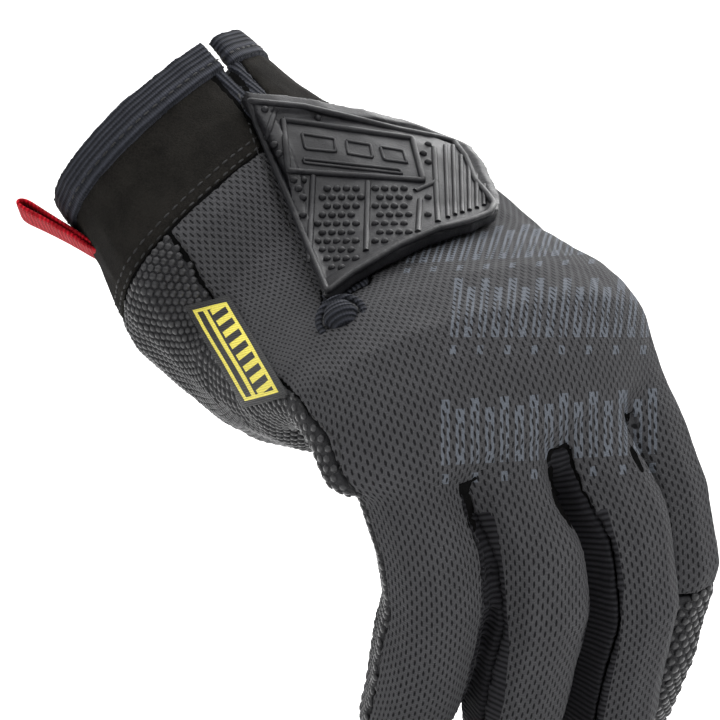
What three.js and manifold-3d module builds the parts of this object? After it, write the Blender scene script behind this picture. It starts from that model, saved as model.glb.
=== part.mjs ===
// Mechanic glove for a right hand, held up by its wrist opening, with its fingers hanging.
// Millimetres, +Z up. The origin is the centre of the cuff's rim, where a wrist goes in.
import * as THREE from 'three';
import { mergeVertices } from 'three/addons/utils/BufferGeometryUtils.js';
import Module from 'manifold-3d';

const wasm = await Module();
wasm.setup();

// Cloth
const CLOTH_WALL = 1.8;
const SEAM_GAP = 0.3;

// Cuff, from the rim to the lower edge of its suede band, and the heel of the hand below it
const CUFF_BREADTH = 58;
const CUFF_DEPTH = 42;
const CUFF_LENGTH = 27.5;
const HEEL_LENGTH = 32.5;
const BINDING_WIDTH = 6.5;
const BINDING_WALL = 2.8;

// Palm, from the bend of the wrist to the knuckles, and from there to the webs of the fingers
const PALM_LENGTH = 55.6;
const PALM_BREADTH = 78;
const PALM_DEPTH = 28;
const WEB_DROP = 13;

// Fingers, as the middle one has them, and the thumb
const FINGER_LENGTH = 98;
const FINGER_BREADTH = 20.6;
const FINGER_DEPTH = 22.6;
const THUMB_LENGTH = 84;
const THUMB_BREADTH = 24;

// Slit in the back of the cuff, with its tape and its end tab
const SLIT_LENGTH = 92;
const SLIT_MOUTH = 5;
const SLIT_WIDTH = 1.2;
const SLIT_TAPE_WIDTH = 3.6;
const SLIT_TAPE_LIFT = 0.5;
const END_TAB_WIDTH = 7;
const END_TAB_HEIGHT = 3;
const END_TAB_STEPS = 12;
const END_TAB_CLEARANCE = 1;

// Closure strap, label and pull loop
const STRAP_THICKNESS = 2.2;
const STRAP_LIFT = 0.9;
const STRAP_RIM_WIDTH = 2.4;
const STRAP_RIM_HEIGHT = 1.1;
const LABEL_THICKNESS = 0.8;
const LOOP_WIDTH = 12;
const LOOP_LENGTH = 16;
const LOOP_REACH = 3;
const LOOP_THICKNESS = 1.2;
const LOOP_LIFT = 4.5;

// Ways of the arm, of the hand and of the webs, and the ways across from little finger to index
const vector = (x, y, z) => new THREE.Vector3(x, y, z);
const ARM_WAY = vector(0.72, -0.2, -0.66).normalize();
const HAND_WAY = vector(0.459, -0.858, -0.236).normalize();
const WEB_WAY = vector(0.2, 0.2, -0.96).normalize();
const ACROSS_WRIST = vector(0.525, 0.616, 0.586).normalize();
const ACROSS_KNUCKLES = vector(0.7, 0.611, 0.37).normalize();
const KNUCKLE_UP = vector(-0.01, -0.47, 0.88).normalize();
const WRIST = ARM_WAY.clone().multiplyScalar(CUFF_LENGTH + HEEL_LENGTH);
const KNUCKLES = WRIST.clone().addScaledVector(HAND_WAY, PALM_LENGTH);

// Rows of the hand from rim to webs. share is the part of the leg's length and turn the part of
// the turn into the next leg; little, thumb, back and front are half sizes, as shares of half
// the breadth and depth of the cuff or the palm
const HAND_ROWS = [
  { leg: 'arm', share: 0.0, turn: 0.0, little: 1.0, thumb: 0.98, back: 0.86, front: 0.95 },
  { leg: 'arm', share: 0.27, turn: 0.0, little: 1.12, thumb: 1.0, back: 0.86, front: 1.25 },
  { leg: 'arm', share: 0.55, turn: 0.1, little: 1.3, thumb: 1.17, back: 0.9, front: 1.8 },
  { leg: 'arm', share: 0.85, turn: 0.4, little: 1.3, thumb: 1.46, back: 0.96, front: 1.7 },
  { leg: 'hand', share: 0.27, turn: -0.15, little: 1.04, thumb: 1.06, back: 1.35, front: 1.8 },
  { leg: 'hand', share: 0.6, turn: 0.15, little: 1.08, thumb: 1.04, back: 1.35, front: 1.55 },
  { leg: 'hand', share: 0.94, turn: 0.5, little: 1.12, thumb: 1.0, back: 1.45, front: 1.3 },
  { leg: 'web', share: 0.8, turn: 0.0, little: 1.15, thumb: 0.98, back: 1.38, front: 1.2 },
  { leg: 'web', share: 1.15, turn: 0.0, little: 0.96, thumb: 0.85, back: 0.85, front: 0.9 },
];

// Rows of the fingers. across, ahead and rise place the knuckle, as shares of half the palm's
// breadth, of its length and of half its depth; bones are shares of the finger's length; reach
// and lean are each bone's angles away from straight down; turn is where the back faces
const FINGERS = [
  { name: 'little', size: 1.0, across: -0.72, ahead: 0.0, rise: 0.0, turn: 6,
    bones: [0.336, 0.22, 0.17], reach: [14, 34, 48], lean: [12, -10, -16] },
  { name: 'ring', size: 0.99, across: -0.22, ahead: 0.12, rise: 0.0, turn: 24,
    bones: [0.406, 0.282, 0.2], reach: [13, 33, 46], lean: [12, -10, -14] },
  { name: 'middle', size: 1.0, across: 0.31, ahead: 0.12, rise: 0.0, turn: 56,
    bones: [0.476, 0.317, 0.21], reach: [10, 31, 45], lean: [14, -8, -13] },
  { name: 'index', size: 1.02, across: 0.72, ahead: 0.0, rise: 0.0, turn: 38,
    bones: [0.487, 0.273, 0.2], reach: [8, 29, 46], lean: [19, -12, -15] },
];
const FINGER_ROW_SIZES = [
  { middle: 0.99, end: 0.98 },
  { middle: 0.97, end: 0.95 },
  { middle: 0.9, end: 0.84 },
];

// Rounding of the knuckles, as shares of half a finger's breadth
const KNUCKLE_DOME = [
  { up: 0.05, behind: 1.8, size: 0.55 },
  { up: 0.1, behind: 0.9, size: 0.82 },
];

// Webs between the fingers: height and width, and where they join the two fingers, as shares
const WEB_HEIGHT = 10;
const WEB_WIDTH = 8;
const WEBS = [
  { near: 0.24, next: 0.27 },
  { near: 0.22, next: 0.25 },
  { near: 0.21, next: 0.24 },
];

// Rows of the thumb behind the palm, as shares of its length from the rim and of half its breadth
const THUMB_ROWS = [
  { x: 0.52, y: 0.05, z: -0.3, size: 1.2 },
  { x: 0.72, y: 0.1, z: -0.48, size: 1.12 },
  { x: 0.9, y: 0.14, z: -0.68, size: 1.0 },
  { x: 1.0, y: 0.17, z: -0.9, size: 0.98 },
  { x: 1.08, y: 0.2, z: -1.16, size: 0.86 },
];

// Seams, as degrees from the middle of the back. The hand's run from rim to webs in even steps
const FINGER_BACK_SEAM = 66;
const FINGER_FRONT_SEAM = 112;
const LITTLE_SIDE_SEAM = [50, 50, 51, 56, 63, 73, 84, 82, 86];
const INDEX_SIDE_SEAM = [84, 84, 84, 84, 86, 88, 88, 86, 84];
const SLIT_LINE = [-22, -15, -4, 4, 13, 29, 36, 36, 36];
const TIP_GUARD_START = 0.45;
const THUMB_START = 0.32;

// Rows of the strap from its sewn edge to its pull tab: where its top and its foot lie, as
// shares of the hand's run and degrees
const STRAP_ROWS = [
  { top: 0.12, topAngle: -6, foot: 0.642, footAngle: 36 },
  { top: 0.15, topAngle: -14, foot: 0.636, footAngle: 31 },
  { top: 0.182, topAngle: -23, foot: 0.628, footAngle: 24 },
  { top: 0.211, topAngle: -29.5, foot: 0.62, footAngle: 16 },
  { top: 0.24, topAngle: -36, foot: 0.61, footAngle: 8 },
  { top: 0.264, topAngle: -45, foot: 0.6, footAngle: 0 },
  { top: 0.287, topAngle: -54, foot: 0.59, footAngle: -9 },
  { top: 0.32, topAngle: -60, foot: 0.578, footAngle: -18 },
  { top: 0.35, topAngle: -63, foot: 0.547, footAngle: -30 },
];
const LOOP_PARTS = 5;

// Rows of the label, from its top end to its lower end
const LABEL_ROWS = [
  { top: 0.305, topAngle: 69, foot: 0.4, footAngle: 49 },
  { top: 0.44, topAngle: 79, foot: 0.59, footAngle: 62 },
  { top: 0.6, topAngle: 99, foot: 0.735, footAngle: 84 },
];
const LOOP_ANGLE = 126;

const HAND_STEPS = 16;
const FINGER_STEPS = 8;
const FINGER_ANGLES = [0, 33, 66, 112, 146, 180, 214, 248, 294, 327];
const DOME_STEPS = 2;
const FINGER_CLEARANCE = 1.1;
const PANEL_REACH = 6;
const SIMPLE_TOLERANCE = 0.08;
const WELD = 1e-3;
const WEDGE_SHIFT = 1.2;
const DEGREE = Math.PI / 180;

// One section: centre, way along, way across and way out of the back, with its half sizes
const SIZE_KEYS = ['little', 'thumb', 'back', 'front'];
function makeSection(centre, along, acrossHint, sizes, share = 0) {
  const across = acrossHint.clone().addScaledVector(along, -acrossHint.dot(along)).normalize();
  const up = along.clone().cross(across);
  return { centre, along, across, up, share, ...sizes };
}

function mixSizes(a, b, part) {
  return Object.fromEntries(SIZE_KEYS.map((key) => [key, a[key] + (b[key] - a[key]) * part]));
}

function scaledSizes(section, scale) {
  return Object.fromEntries(SIZE_KEYS.map((key) => [key, section[key] * scale]));
}

// Sections in even steps on a smooth curve through the rows' centres
function resample(rows, steps) {
  const curve = new THREE.CatmullRomCurve3(rows.map((row) => row.centre), false, 'centripetal');
  const sides = new THREE.CatmullRomCurve3(rows.map((row) => vector(row.little, row.thumb, 0)));
  const depths = new THREE.CatmullRomCurve3(rows.map((row) => vector(row.back, row.front, 0)));
  const sections = [];
  for (let step = 0; step <= steps; step += 1) {
    const t = step / steps;
    const place = t * (rows.length - 1);
    const row = Math.min(Math.floor(place), rows.length - 2);
    const hint = rows[row].across.clone().lerp(rows[row + 1].across, place - row);
    const side = sides.getPoint(t);
    const depth = depths.getPoint(t);
    const sizes = { little: side.x, thumb: side.y, back: depth.x, front: depth.y };
    const way = rows[row].way.clone().lerp(rows[row + 1].way, place - row).normalize();
    sections.push(makeSection(curve.getPoint(t), way, hint, sizes, t));
  }
  return sections;
}

// Sections that round off the end of a run
function withDome(sections, length) {
  const end = sections[sections.length - 1];
  const rounded = sections.slice();
  for (let step = 1; step <= DOME_STEPS; step += 1) {
    const turn = (step / (DOME_STEPS + 0.35)) * Math.PI / 2;
    const centre = end.centre.clone().addScaledVector(end.along, length * Math.sin(turn));
    rounded.push(makeSection(centre, end.along, end.across, scaledSizes(end, Math.cos(turn)), 1));
  }
  return rounded;
}

// Section at a share of a run, and the part of a run between two shares
function sectionAt(sections, share) {
  const place = Math.min(Math.max(share, 0), 1) * (sections.length - 1);
  const index = Math.min(Math.floor(place), sections.length - 2);
  const [a, b, part] = [sections[index], sections[index + 1], place - index];
  const along = a.along.clone().lerp(b.along, part).normalize();
  return makeSection(a.centre.clone().lerp(b.centre, part), along,
    a.across.clone().lerp(b.across, part), mixSizes(a, b, part), share);
}

function runBetween(sections, from, to) {
  const near = 0.1 / sections.length;
  const count = sections.length - 1;
  const inside = sections.filter((section, place) => place / count > from + near
    && place / count < to - near);
  return [sectionAt(sections, from), ...inside, sectionAt(sections, to)];
}

// Share of a run that lies a distance along it
function shareAt(sections, distance) {
  const count = sections.length - 1;
  let walked = 0;
  for (let place = 0; place < count; place += 1) {
    const step = sections[place].centre.distanceTo(sections[place + 1].centre);
    if (walked + step >= distance) {
      return (place + (distance - walked) / step) / count;
    }
    walked += step;
  }
  return 1;
}

// Section moved along its own way
function slid(section, distance) {
  return { ...section, centre: section.centre.clone().addScaledVector(section.along, distance) };
}

// Point of a section at an angle from the middle of the back, grown outwards
function pointAt(section, degrees, grow) {
  const angle = (90 + degrees) * DEGREE;
  const depth = Math.sin(angle) > 0 ? section.back : section.front;
  const side = Math.cos(angle) > 0 ? section.thumb : section.little;
  return section.centre.clone()
    .addScaledVector(section.across, (side + grow) * Math.cos(angle))
    .addScaledVector(section.up, (depth + grow) * Math.sin(angle));
}

// Degrees that a width takes up at a radius
function degreesFor(width, radius) {
  return (width / radius) / DEGREE;
}

// Closed solid through rings of points, with ladders of triangles over both ends
function solidFromRings(rings) {
  const count = rings[0].length;
  const last = (rings.length - 1) * count;
  const triangles = [];
  for (let ring = 0; ring + 1 < rings.length; ring += 1) {
    for (let side = 0; side < count; side += 1) {
      const a = ring * count + side;
      const b = ring * count + (side + 1) % count;
      triangles.push([a, b, b + count], [a, b + count, a + count]);
    }
  }
  const cap = [];
  for (let side = 0; side + 1 < count - 1 - side; side += 1) {
    const other = count - 1 - side;
    cap.push([side, other - 1, other]);
    if (side + 1 < other - 1) {
      cap.push([side, side + 1, other - 1]);
    }
  }
  cap.forEach(([a, b, c]) => triangles.push([a, c, b], [last + a, last + b, last + c]));
  const vertProperties = new Float32Array(rings.flat().flatMap((point) => point.toArray()));
  const made = (faces) => new wasm.Manifold(new wasm.Mesh({
    numProp: 3,
    vertProperties,
    triVerts: new Uint32Array(faces.flat()),
  }));
  const solid = made(triangles);
  return solid.volume() > 0 ? solid : made(triangles.map(([a, b, c]) => [a, c, b]));
}

// Tube of a run of sections, grown or shrunk
const anglesAround = (sides) => Array.from({ length: sides }, (_, side) => (360 * side) / sides);
const HAND_ANGLES = anglesAround(22);
const STRAP_ANGLES = anglesAround(28);
const WEB_ANGLES = anglesAround(8);
const HOLLOW_HAND_ANGLES = anglesAround(14);
const HOLLOW_FINGER_ANGLES = anglesAround(6);
function tube(sections, angles, grow) {
  return solidFromRings(sections.map((section) => angles.map((angle) => (
    pointAt(section, angle, grow)))));
}

// Values in even steps from one to another
function evenly(from, to, steps) {
  return Array.from({ length: steps + 1 }, (_, step) => from + ((to - from) * step) / steps);
}

// Wedge of a run of sections between two angles, from its centre line outwards. extra widens it
// on every side, to leave the gap of a seam
function wedge(sections, from, to, reach, extra = 0) {
  const run = sections.slice();
  run[0] = slid(run[0], -extra);
  run[run.length - 1] = slid(run[run.length - 1], extra);
  return solidFromRings(run.map((section) => {
    const turn = degreesFor(extra, (section.little + section.back) / 2 + reach);
    const middle = pointAt(section, (from + to) / 2, 0).sub(section.centre).normalize();
    return [section.centre.clone().addScaledVector(middle, -extra * WEDGE_SHIFT),
      ...evenly(from - turn, to + turn, 4).map((angle) => pointAt(section, angle, reach + extra))];
  }));
}

// Band over a run of sections between two angles that may change along it
function band(sections, from, to, steps, inside, outside) {
  return solidFromRings(sections.map((section) => {
    const angles = evenly(from(section.share), to(section.share), steps);
    return [...angles.map((angle) => pointAt(section, angle, outside)),
      ...angles.reverse().map((angle) => pointAt(section, angle, inside))];
  }));
}

// Block that stands over a patch of a run: each row is a line from its top to its foot. margin
// draws its four sides in, as a share of the patch
function patch(sections, rows, steps, margin) {
  return solidFromRings(rows.map((row) => {
    const line = (grow) => Array.from({ length: steps + 1 }, (_, step) => {
      const down = margin + (1 - margin * 2) * (step / steps);
      const share = row.top + (row.foot - row.top) * down;
      const angle = row.topAngle + (row.footAngle - row.topAngle) * down;
      return pointAt(sectionAt(sections, share), angle, grow);
    });
    return [...line(PANEL_REACH), ...line(-PANEL_REACH).reverse()];
  }));
}

// Rows of a patch, set closer together from one part of it to another
function denseRows(rows, count, from, to) {
  const keys = Object.keys(rows[0]);
  return evenly(from, to, count).map((part) => {
    const place = part * (rows.length - 1);
    const index = Math.min(Math.floor(place), rows.length - 2);
    return Object.fromEntries(keys.map((key) => [key,
      rows[index][key] + (rows[index + 1][key] - rows[index][key]) * (place - index)]));
  });
}

// Value of a table that runs evenly from the rim to the webs
function tableAt(table, share) {
  const place = share * (table.length - 1);
  const index = Math.min(Math.floor(place), table.length - 2);
  return table[index] + (table[index + 1] - table[index]) * (place - index);
}

const united = (solids) => solids.reduce((whole, solid) => whole.add(solid));
const mainBody = (solid) => solid.decompose().sort((a, b) => b.volume() - a.volume())[0];

// Hand from the rim to the webs
const LEGS = {
  arm: { start: vector(0, 0, 0), way: ARM_WAY, length: CUFF_LENGTH + HEEL_LENGTH,
    across: ACROSS_WRIST, breadth: CUFF_BREADTH, depth: CUFF_DEPTH, before: ARM_WAY,
    after: HAND_WAY },
  hand: { start: WRIST, way: HAND_WAY, length: PALM_LENGTH,
    across: ACROSS_KNUCKLES, breadth: PALM_BREADTH, depth: PALM_DEPTH, before: ARM_WAY,
    after: WEB_WAY },
  web: { start: KNUCKLES, way: WEB_WAY, length: WEB_DROP,
    across: ACROSS_KNUCKLES, breadth: PALM_BREADTH, depth: PALM_DEPTH, before: HAND_WAY,
    after: WEB_WAY },
};
const handRows = HAND_ROWS.map((row) => {
  const leg = LEGS[row.leg];
  return {
    centre: leg.start.clone().addScaledVector(leg.way, leg.length * row.share),
    way: leg.way.clone().lerp(row.turn < 0 ? leg.before : leg.after, Math.abs(row.turn)).normalize(),
    across: leg.across,
    little: (leg.breadth / 2) * row.little,
    thumb: (leg.breadth / 2) * row.thumb,
    back: (leg.depth / 2) * row.back,
    front: (leg.depth / 2) * row.front,
  };
});
const hand = resample(handRows, HAND_STEPS);

// Way of a bone that reaches back and leans to the side
function boneWay(reach, lean) {
  const down = Math.cos(reach * DEGREE);
  return vector(down * Math.sin(lean * DEGREE), Math.sin(reach * DEGREE),
    -down * Math.cos(lean * DEGREE));
}

function fingerSections(finger) {
  const half = (FINGER_BREADTH / 2) * finger.size;
  const deep = (FINGER_DEPTH / 2) * finger.size;
  const across = vector(Math.cos(finger.turn * DEGREE), Math.sin(finger.turn * DEGREE), 0);
  const row = (centre, way, size) => ({ centre, way, across, little: half * size, thumb: half * size,
    back: deep * size, front: deep * size });
  const knuckle = KNUCKLES.clone()
    .addScaledVector(ACROSS_KNUCKLES, (PALM_BREADTH / 2) * finger.across)
    .addScaledVector(HAND_WAY, PALM_LENGTH * finger.ahead)
    .addScaledVector(KNUCKLE_UP, (PALM_DEPTH / 2) * finger.rise);
  const ways = finger.bones.map((bone, place) => boneWay(finger.reach[place], finger.lean[place]));
  const rows = [row(knuckle, ways[0], 1)];
  let joint = knuckle;
  finger.bones.forEach((bone, place) => {
    const end = joint.clone().addScaledVector(ways[place], FINGER_LENGTH * bone);
    const next = ways[Math.min(place + 1, ways.length - 1)].clone().add(ways[place]).normalize();
    rows.push(row(joint.clone().lerp(end, 0.5), ways[place], FINGER_ROW_SIZES[place].middle));
    rows.push(row(end, next, FINGER_ROW_SIZES[place].end));
    joint = end;
  });
  const run = resample(rows, FINGER_STEPS);
  const roots = KNUCKLE_DOME.map((step) => makeSection(knuckle.clone()
    .addScaledVector(ways[0], -half * step.up).addScaledVector(HAND_WAY, -half * step.behind),
  ways[0], across, scaledSizes(run[0], step.size)));
  return withDome([...roots, ...run], half * 0.85);
}
const fingers = FINGERS.map(fingerSections);

const thumbPlaces = THUMB_ROWS.map((row) => vector(row.x, row.y, row.z).multiplyScalar(THUMB_LENGTH));
const thumbRows = THUMB_ROWS.map((row, place) => {
  const half = (THUMB_BREADTH / 2) * row.size;
  const before = thumbPlaces[Math.max(place - 1, 0)];
  const after = thumbPlaces[Math.min(place + 1, thumbPlaces.length - 1)];
  return {
    centre: thumbPlaces[place],
    way: after.clone().sub(before).normalize(),
    across: vector(0.2, 0.95, 0.3),
    little: half,
    thumb: half,
    back: half,
    front: half,
  };
});
const thumb = withDome(resample(thumbRows, FINGER_STEPS - 3), THUMB_BREADTH * 0.4);

// Web of cloth that joins two neighbouring fingers
function webBridge(place, extra) {
  const near = sectionAt(fingers[place], WEBS[place].near);
  const next = sectionAt(fingers[place + 1], WEBS[place].next);
  const from = pointAt(near, -90, -CLOTH_WALL);
  const to = pointAt(next, 90, -CLOTH_WALL);
  const way = next.centre.clone().sub(near.centre).normalize();
  const sizes = { little: WEB_HEIGHT / 2, thumb: WEB_HEIGHT / 2, back: WEB_WIDTH / 2,
    front: WEB_WIDTH / 2 };
  const run = [from, to].map((end) => makeSection(end, way, near.along, sizes));
  return tube([slid(run[0], -extra), slid(run[1], extra)], WEB_ANGLES, extra);
}

// Shell of cloth: the outer form less the hollow, which runs out through the rim
const digits = [...fingers, thumb];
const hollowHand = [slid(hand[0], -BINDING_WIDTH), ...hand.filter((_, place) => place % 2 === 0
  && place < hand.length - 1), slid(hand[hand.length - 1], -CLOTH_WALL)];
const form = united([tube(hand, HAND_ANGLES, 0), ...WEBS.map((_, place) => webBridge(place, 0)),
  ...digits.map((digit) => tube(digit, FINGER_ANGLES, 0))]);
const hollow = united([tube(hollowHand, HOLLOW_HAND_ANGLES, -CLOTH_WALL),
  ...digits.map((digit) => tube(digit, HOLLOW_FINGER_ANGLES, -CLOTH_WALL))]);
const shell = form.subtract(hollow);

// Zones of the cuff
const bindingEnd = shareAt(hand, BINDING_WIDTH);
const bandStart = shareAt(hand, BINDING_WIDTH + SEAM_GAP);
const cuffEnd = shareAt(hand, CUFF_LENGTH);
const handStart = shareAt(hand, CUFF_LENGTH + SEAM_GAP);
const cuffBand = tube(runBetween(hand, bandStart, cuffEnd), HAND_ANGLES, PANEL_REACH);
const cloth = shell.subtract(tube(runBetween(hand, 0, handStart), HAND_ANGLES, PANEL_REACH));

// Zone of the slit: a strip along its line, with a mouth that opens at the rim
const slitEnd = shareAt(hand, SLIT_LENGTH);
const mouthEnd = shareAt(hand, BINDING_WIDTH * 2);
function slitStrip(halfWidth, halfMouth, from, to) {
  const half = (share) => {
    const open = Math.max(0, 1 - share / mouthEnd);
    return ((halfWidth + (halfMouth - halfWidth) * open) / (CUFF_BREADTH / 2)) / DEGREE;
  };
  return band(runBetween(hand, from, to), (share) => tableAt(SLIT_LINE, share) - half(share),
    (share) => tableAt(SLIT_LINE, share) + half(share), 2, -CLOTH_WALL * 2, PANEL_REACH);
}
const tapeReach = SLIT_WIDTH / 2 + SLIT_TAPE_WIDTH;
const tapeMouth = SLIT_MOUTH / 2 + SLIT_TAPE_WIDTH;
const slitFoot = shareAt(hand, SLIT_LENGTH - SLIT_TAPE_WIDTH);
const slitOpening = slitStrip(SLIT_WIDTH / 2, SLIT_MOUTH / 2, 0, slitFoot);
const tapeZone = slitStrip(tapeReach, tapeMouth, bandStart, slitEnd);
const tapeCut = slitStrip(tapeReach + SEAM_GAP, tapeMouth + SEAM_GAP, 0,
  shareAt(hand, SLIT_LENGTH + SEAM_GAP));

// Zones of the panels. extra widens a zone to leave the seam's gap beside it
function backZone(extra) {
  const spread = degreesFor(extra, PALM_DEPTH / 2);
  const run = extra > 0 ? [...hand, slid(hand[hand.length - 1], extra)] : hand;
  return united([
    band(run, (share) => -tableAt(INDEX_SIDE_SEAM, share) - spread,
      (share) => tableAt(LITTLE_SIDE_SEAM, share) + spread, 6, -CLOTH_WALL * 4 - extra,
      PANEL_REACH + extra),
    ...fingers.map((finger) => wedge(finger.slice(KNUCKLE_DOME.length), -FINGER_BACK_SEAM, FINGER_BACK_SEAM,
      FINGER_CLEARANCE, extra)),
  ]);
}

function fourchetteZone(place, extra) {
  const near = wedge(fingers[place].slice(KNUCKLE_DOME.length), -FINGER_FRONT_SEAM, -FINGER_BACK_SEAM,
    FINGER_CLEARANCE, extra);
  const next = wedge(fingers[place + 1].slice(KNUCKLE_DOME.length), FINGER_BACK_SEAM, FINGER_FRONT_SEAM,
    FINGER_CLEARANCE, extra);
  return united([near, next, webBridge(place, extra)]);
}

const backCut = backZone(SEAM_GAP);
const index = fingers[3];
const guardRun = runBetween(index, TIP_GUARD_START, 1);
const guardZone = tube(guardRun, FINGER_ANGLES, FINGER_CLEARANCE / 2);
const guardCut = tube([slid(guardRun[0], -SEAM_GAP), ...guardRun], FINGER_ANGLES,
  FINGER_CLEARANCE / 2);
const thumbRun = runBetween(thumb, THUMB_START, 1);
const thumbZone = tube(thumbRun, FINGER_ANGLES, FINGER_CLEARANCE);
const thumbCut = tube([slid(thumbRun[0], -SEAM_GAP), ...thumbRun], FINGER_ANGLES, FINGER_CLEARANCE);
const thumbFront = wedge(thumbRun, 90, 270, PANEL_REACH);
const thumbFrontCut = wedge(thumbRun, 90, 270, PANEL_REACH, SEAM_GAP);

// Fourchettes between neighbouring fingers
const pairs = [0, 1, 2].map((place) => ({
  name: `fourchette_${FINGERS[place].name}_${FINGERS[place + 1].name}`,
  zone: fourchetteZone(place, 0),
  cut: fourchetteZone(place, SEAM_GAP),
}));

// Strap with a raised rim all round
const strapRim = STRAP_RIM_WIDTH / (CUFF_LENGTH + BINDING_WIDTH);
const strapTop = STRAP_LIFT + STRAP_THICKNESS;
const strapPatch = (from, to, margin) => patch(hand, denseRows(STRAP_ROWS, 8, from, to), 4, margin);
const over = (grow) => tube(hand, STRAP_ANGLES, grow);
const strap = strapPatch(0, 1, 0).intersect(over(strapTop + STRAP_RIM_HEIGHT)).subtract(over(STRAP_LIFT))
  .subtract(strapPatch(strapRim, 1 - strapRim, strapRim).subtract(over(strapTop)));

// Pull loop: a folded strip of webbing that stands off the rim, with a slot through the fold
const loopHalf = degreesFor(LOOP_WIDTH / 2, CUFF_BREADTH / 2);
function loopBar(from, to, margin) {
  return solidFromRings(evenly(from, to, LOOP_PARTS).map((place) => {
    const section = place < 0 ? slid(hand[0], place) : sectionAt(hand, shareAt(hand, place));
    const out = (LOOP_LENGTH - place) / (LOOP_LENGTH + LOOP_REACH);
    const low = BINDING_WALL - CLOTH_WALL + SEAM_GAP + LOOP_LIFT * out + margin;
    const high = low + LOOP_THICKNESS * (2.2 + out) - margin * 2;
    const reach = loopHalf + (margin > 0 ? degreesFor(SEAM_GAP, CUFF_BREADTH / 2) : 0);
    return [[low, -reach], [low, reach], [high, reach], [high, -reach]].map(([grow, side]) => (
      pointAt(section, LOOP_ANGLE + side, grow)));
  }));
}
const loopWall = LOOP_THICKNESS;
const pullLoop = loopBar(-LOOP_REACH, LOOP_LENGTH, 0)
  .subtract(loopBar(-LOOP_REACH + loopWall, LOOP_LENGTH - loopWall, loopWall));

// Ribbed end tab of the slit, a low dome on the back of the hand. margin grows it for a clearance
function endTab(margin) {
  const place = shareAt(hand, SLIT_LENGTH + END_TAB_WIDTH);
  const section = sectionAt(hand, place);
  const angle = tableAt(SLIT_LINE, place);
  const foot = pointAt(section, angle, SEAM_GAP - margin);
  const out = pointAt(section, angle, END_TAB_HEIGHT).sub(foot).normalize();
  const height = END_TAB_HEIGHT + margin * 2;
  const rings = [0, 0.35, 0.7, 0.95].map((rise) => {
    const radius = (END_TAB_WIDTH / 2 + margin) * Math.sqrt(1 - rise * rise);
    const centre = foot.clone().addScaledVector(out, height * rise);
    const side = section.along.clone().addScaledVector(out, -section.along.dot(out)).normalize();
    const other = out.clone().cross(side);
    return Array.from({ length: END_TAB_STEPS }, (_, step) => centre.clone()
      .addScaledVector(side, radius * Math.cos((step / END_TAB_STEPS) * 360 * DEGREE))
      .addScaledVector(other, radius * Math.sin((step / END_TAB_STEPS) * 360 * DEGREE)));
  });
  return solidFromRings(rings).subtract(over(SEAM_GAP - margin));
}

// Pieces
const onHand = cloth.subtract(tapeCut);
const pieces = {
  back_panel: onHand.intersect(backZone(0)).subtract(guardCut),
  palm_panel: cloth.subtract(backCut).subtract(united(pairs.map((pair) => pair.cut)))
    .subtract(guardCut).subtract(thumbCut),
  index_tip_guard: cloth.intersect(guardZone),
  thumb_front: cloth.intersect(thumbZone).intersect(thumbFront),
  thumb_back: cloth.intersect(thumbZone).subtract(thumbFrontCut),
  cuff_band: shell.intersect(cuffBand).subtract(tapeCut),
  cuff_binding: tube(runBetween(hand, 0, bindingEnd), HAND_ANGLES, BINDING_WALL - CLOTH_WALL)
    .subtract(hollow).subtract(slitOpening),
  slit_binding: tube(runBetween(hand, bandStart, slitEnd), HAND_ANGLES, SLIT_TAPE_LIFT)
    .subtract(hollow).intersect(tapeZone).subtract(slitOpening),
  slit_end_tab: endTab(0),
  closure_strap: strap.subtract(endTab(END_TAB_CLEARANCE)),
  side_label: patch(hand, denseRows(LABEL_ROWS, 4, 0, 1), 2, 0)
    .intersect(tube(hand, HAND_ANGLES, SEAM_GAP + LABEL_THICKNESS))
    .subtract(tube(hand, HAND_ANGLES, SEAM_GAP)),
  pull_loop: pullLoop,
};
pairs.forEach((pair) => {
  pieces[pair.name] = cloth.intersect(pair.zone).subtract(backCut).subtract(guardCut);
});

// Colour and finish of each piece
const GRIP_FINISH = { color: 0x232427, roughness: 0.5, metalness: 0.0 };
const KNIT_FINISH = { color: 0x4a4b4e, roughness: 0.85, metalness: 0.0 };
const TAPE_FINISH = { color: 0x23252d, roughness: 0.9, metalness: 0.0 };
const SIDE_FINISH = { color: 0x16171a, roughness: 0.85, metalness: 0.0 };
const FINISHES = {
  back_panel: KNIT_FINISH,
  palm_panel: GRIP_FINISH,
  index_tip_guard: GRIP_FINISH,
  thumb_front: GRIP_FINISH,
  thumb_back: KNIT_FINISH,
  cuff_band: { color: 0x201f1c, roughness: 0.95, metalness: 0.0 },
  cuff_binding: TAPE_FINISH,
  slit_binding: TAPE_FINISH,
  slit_end_tab: TAPE_FINISH,
  closure_strap: { color: 0x2b2c2f, roughness: 0.45, metalness: 0.0 },
  side_label: { color: 0xc8b53a, roughness: 0.7, metalness: 0.0 },
  pull_loop: { color: 0xb01422, roughness: 0.8, metalness: 0.0 },
};

// Geometry of a piece's main body, with vertices that lie together joined
function geometryOf(solid) {
  const mesh = solid.getMesh();
  const geometry = new THREE.BufferGeometry();
  geometry.setAttribute('position', new THREE.BufferAttribute(mesh.vertProperties, 3));
  geometry.setIndex(new THREE.BufferAttribute(mesh.triVerts, 1));
  return mergeVertices(geometry, WELD);
}

function welded(solid) {
  const geometry = geometryOf(solid);
  return mainBody(new wasm.Manifold(new wasm.Mesh({
    numProp: 3,
    vertProperties: geometry.attributes.position.array,
    triVerts: new Uint32Array(geometry.index.array),
  })));
}

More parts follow.
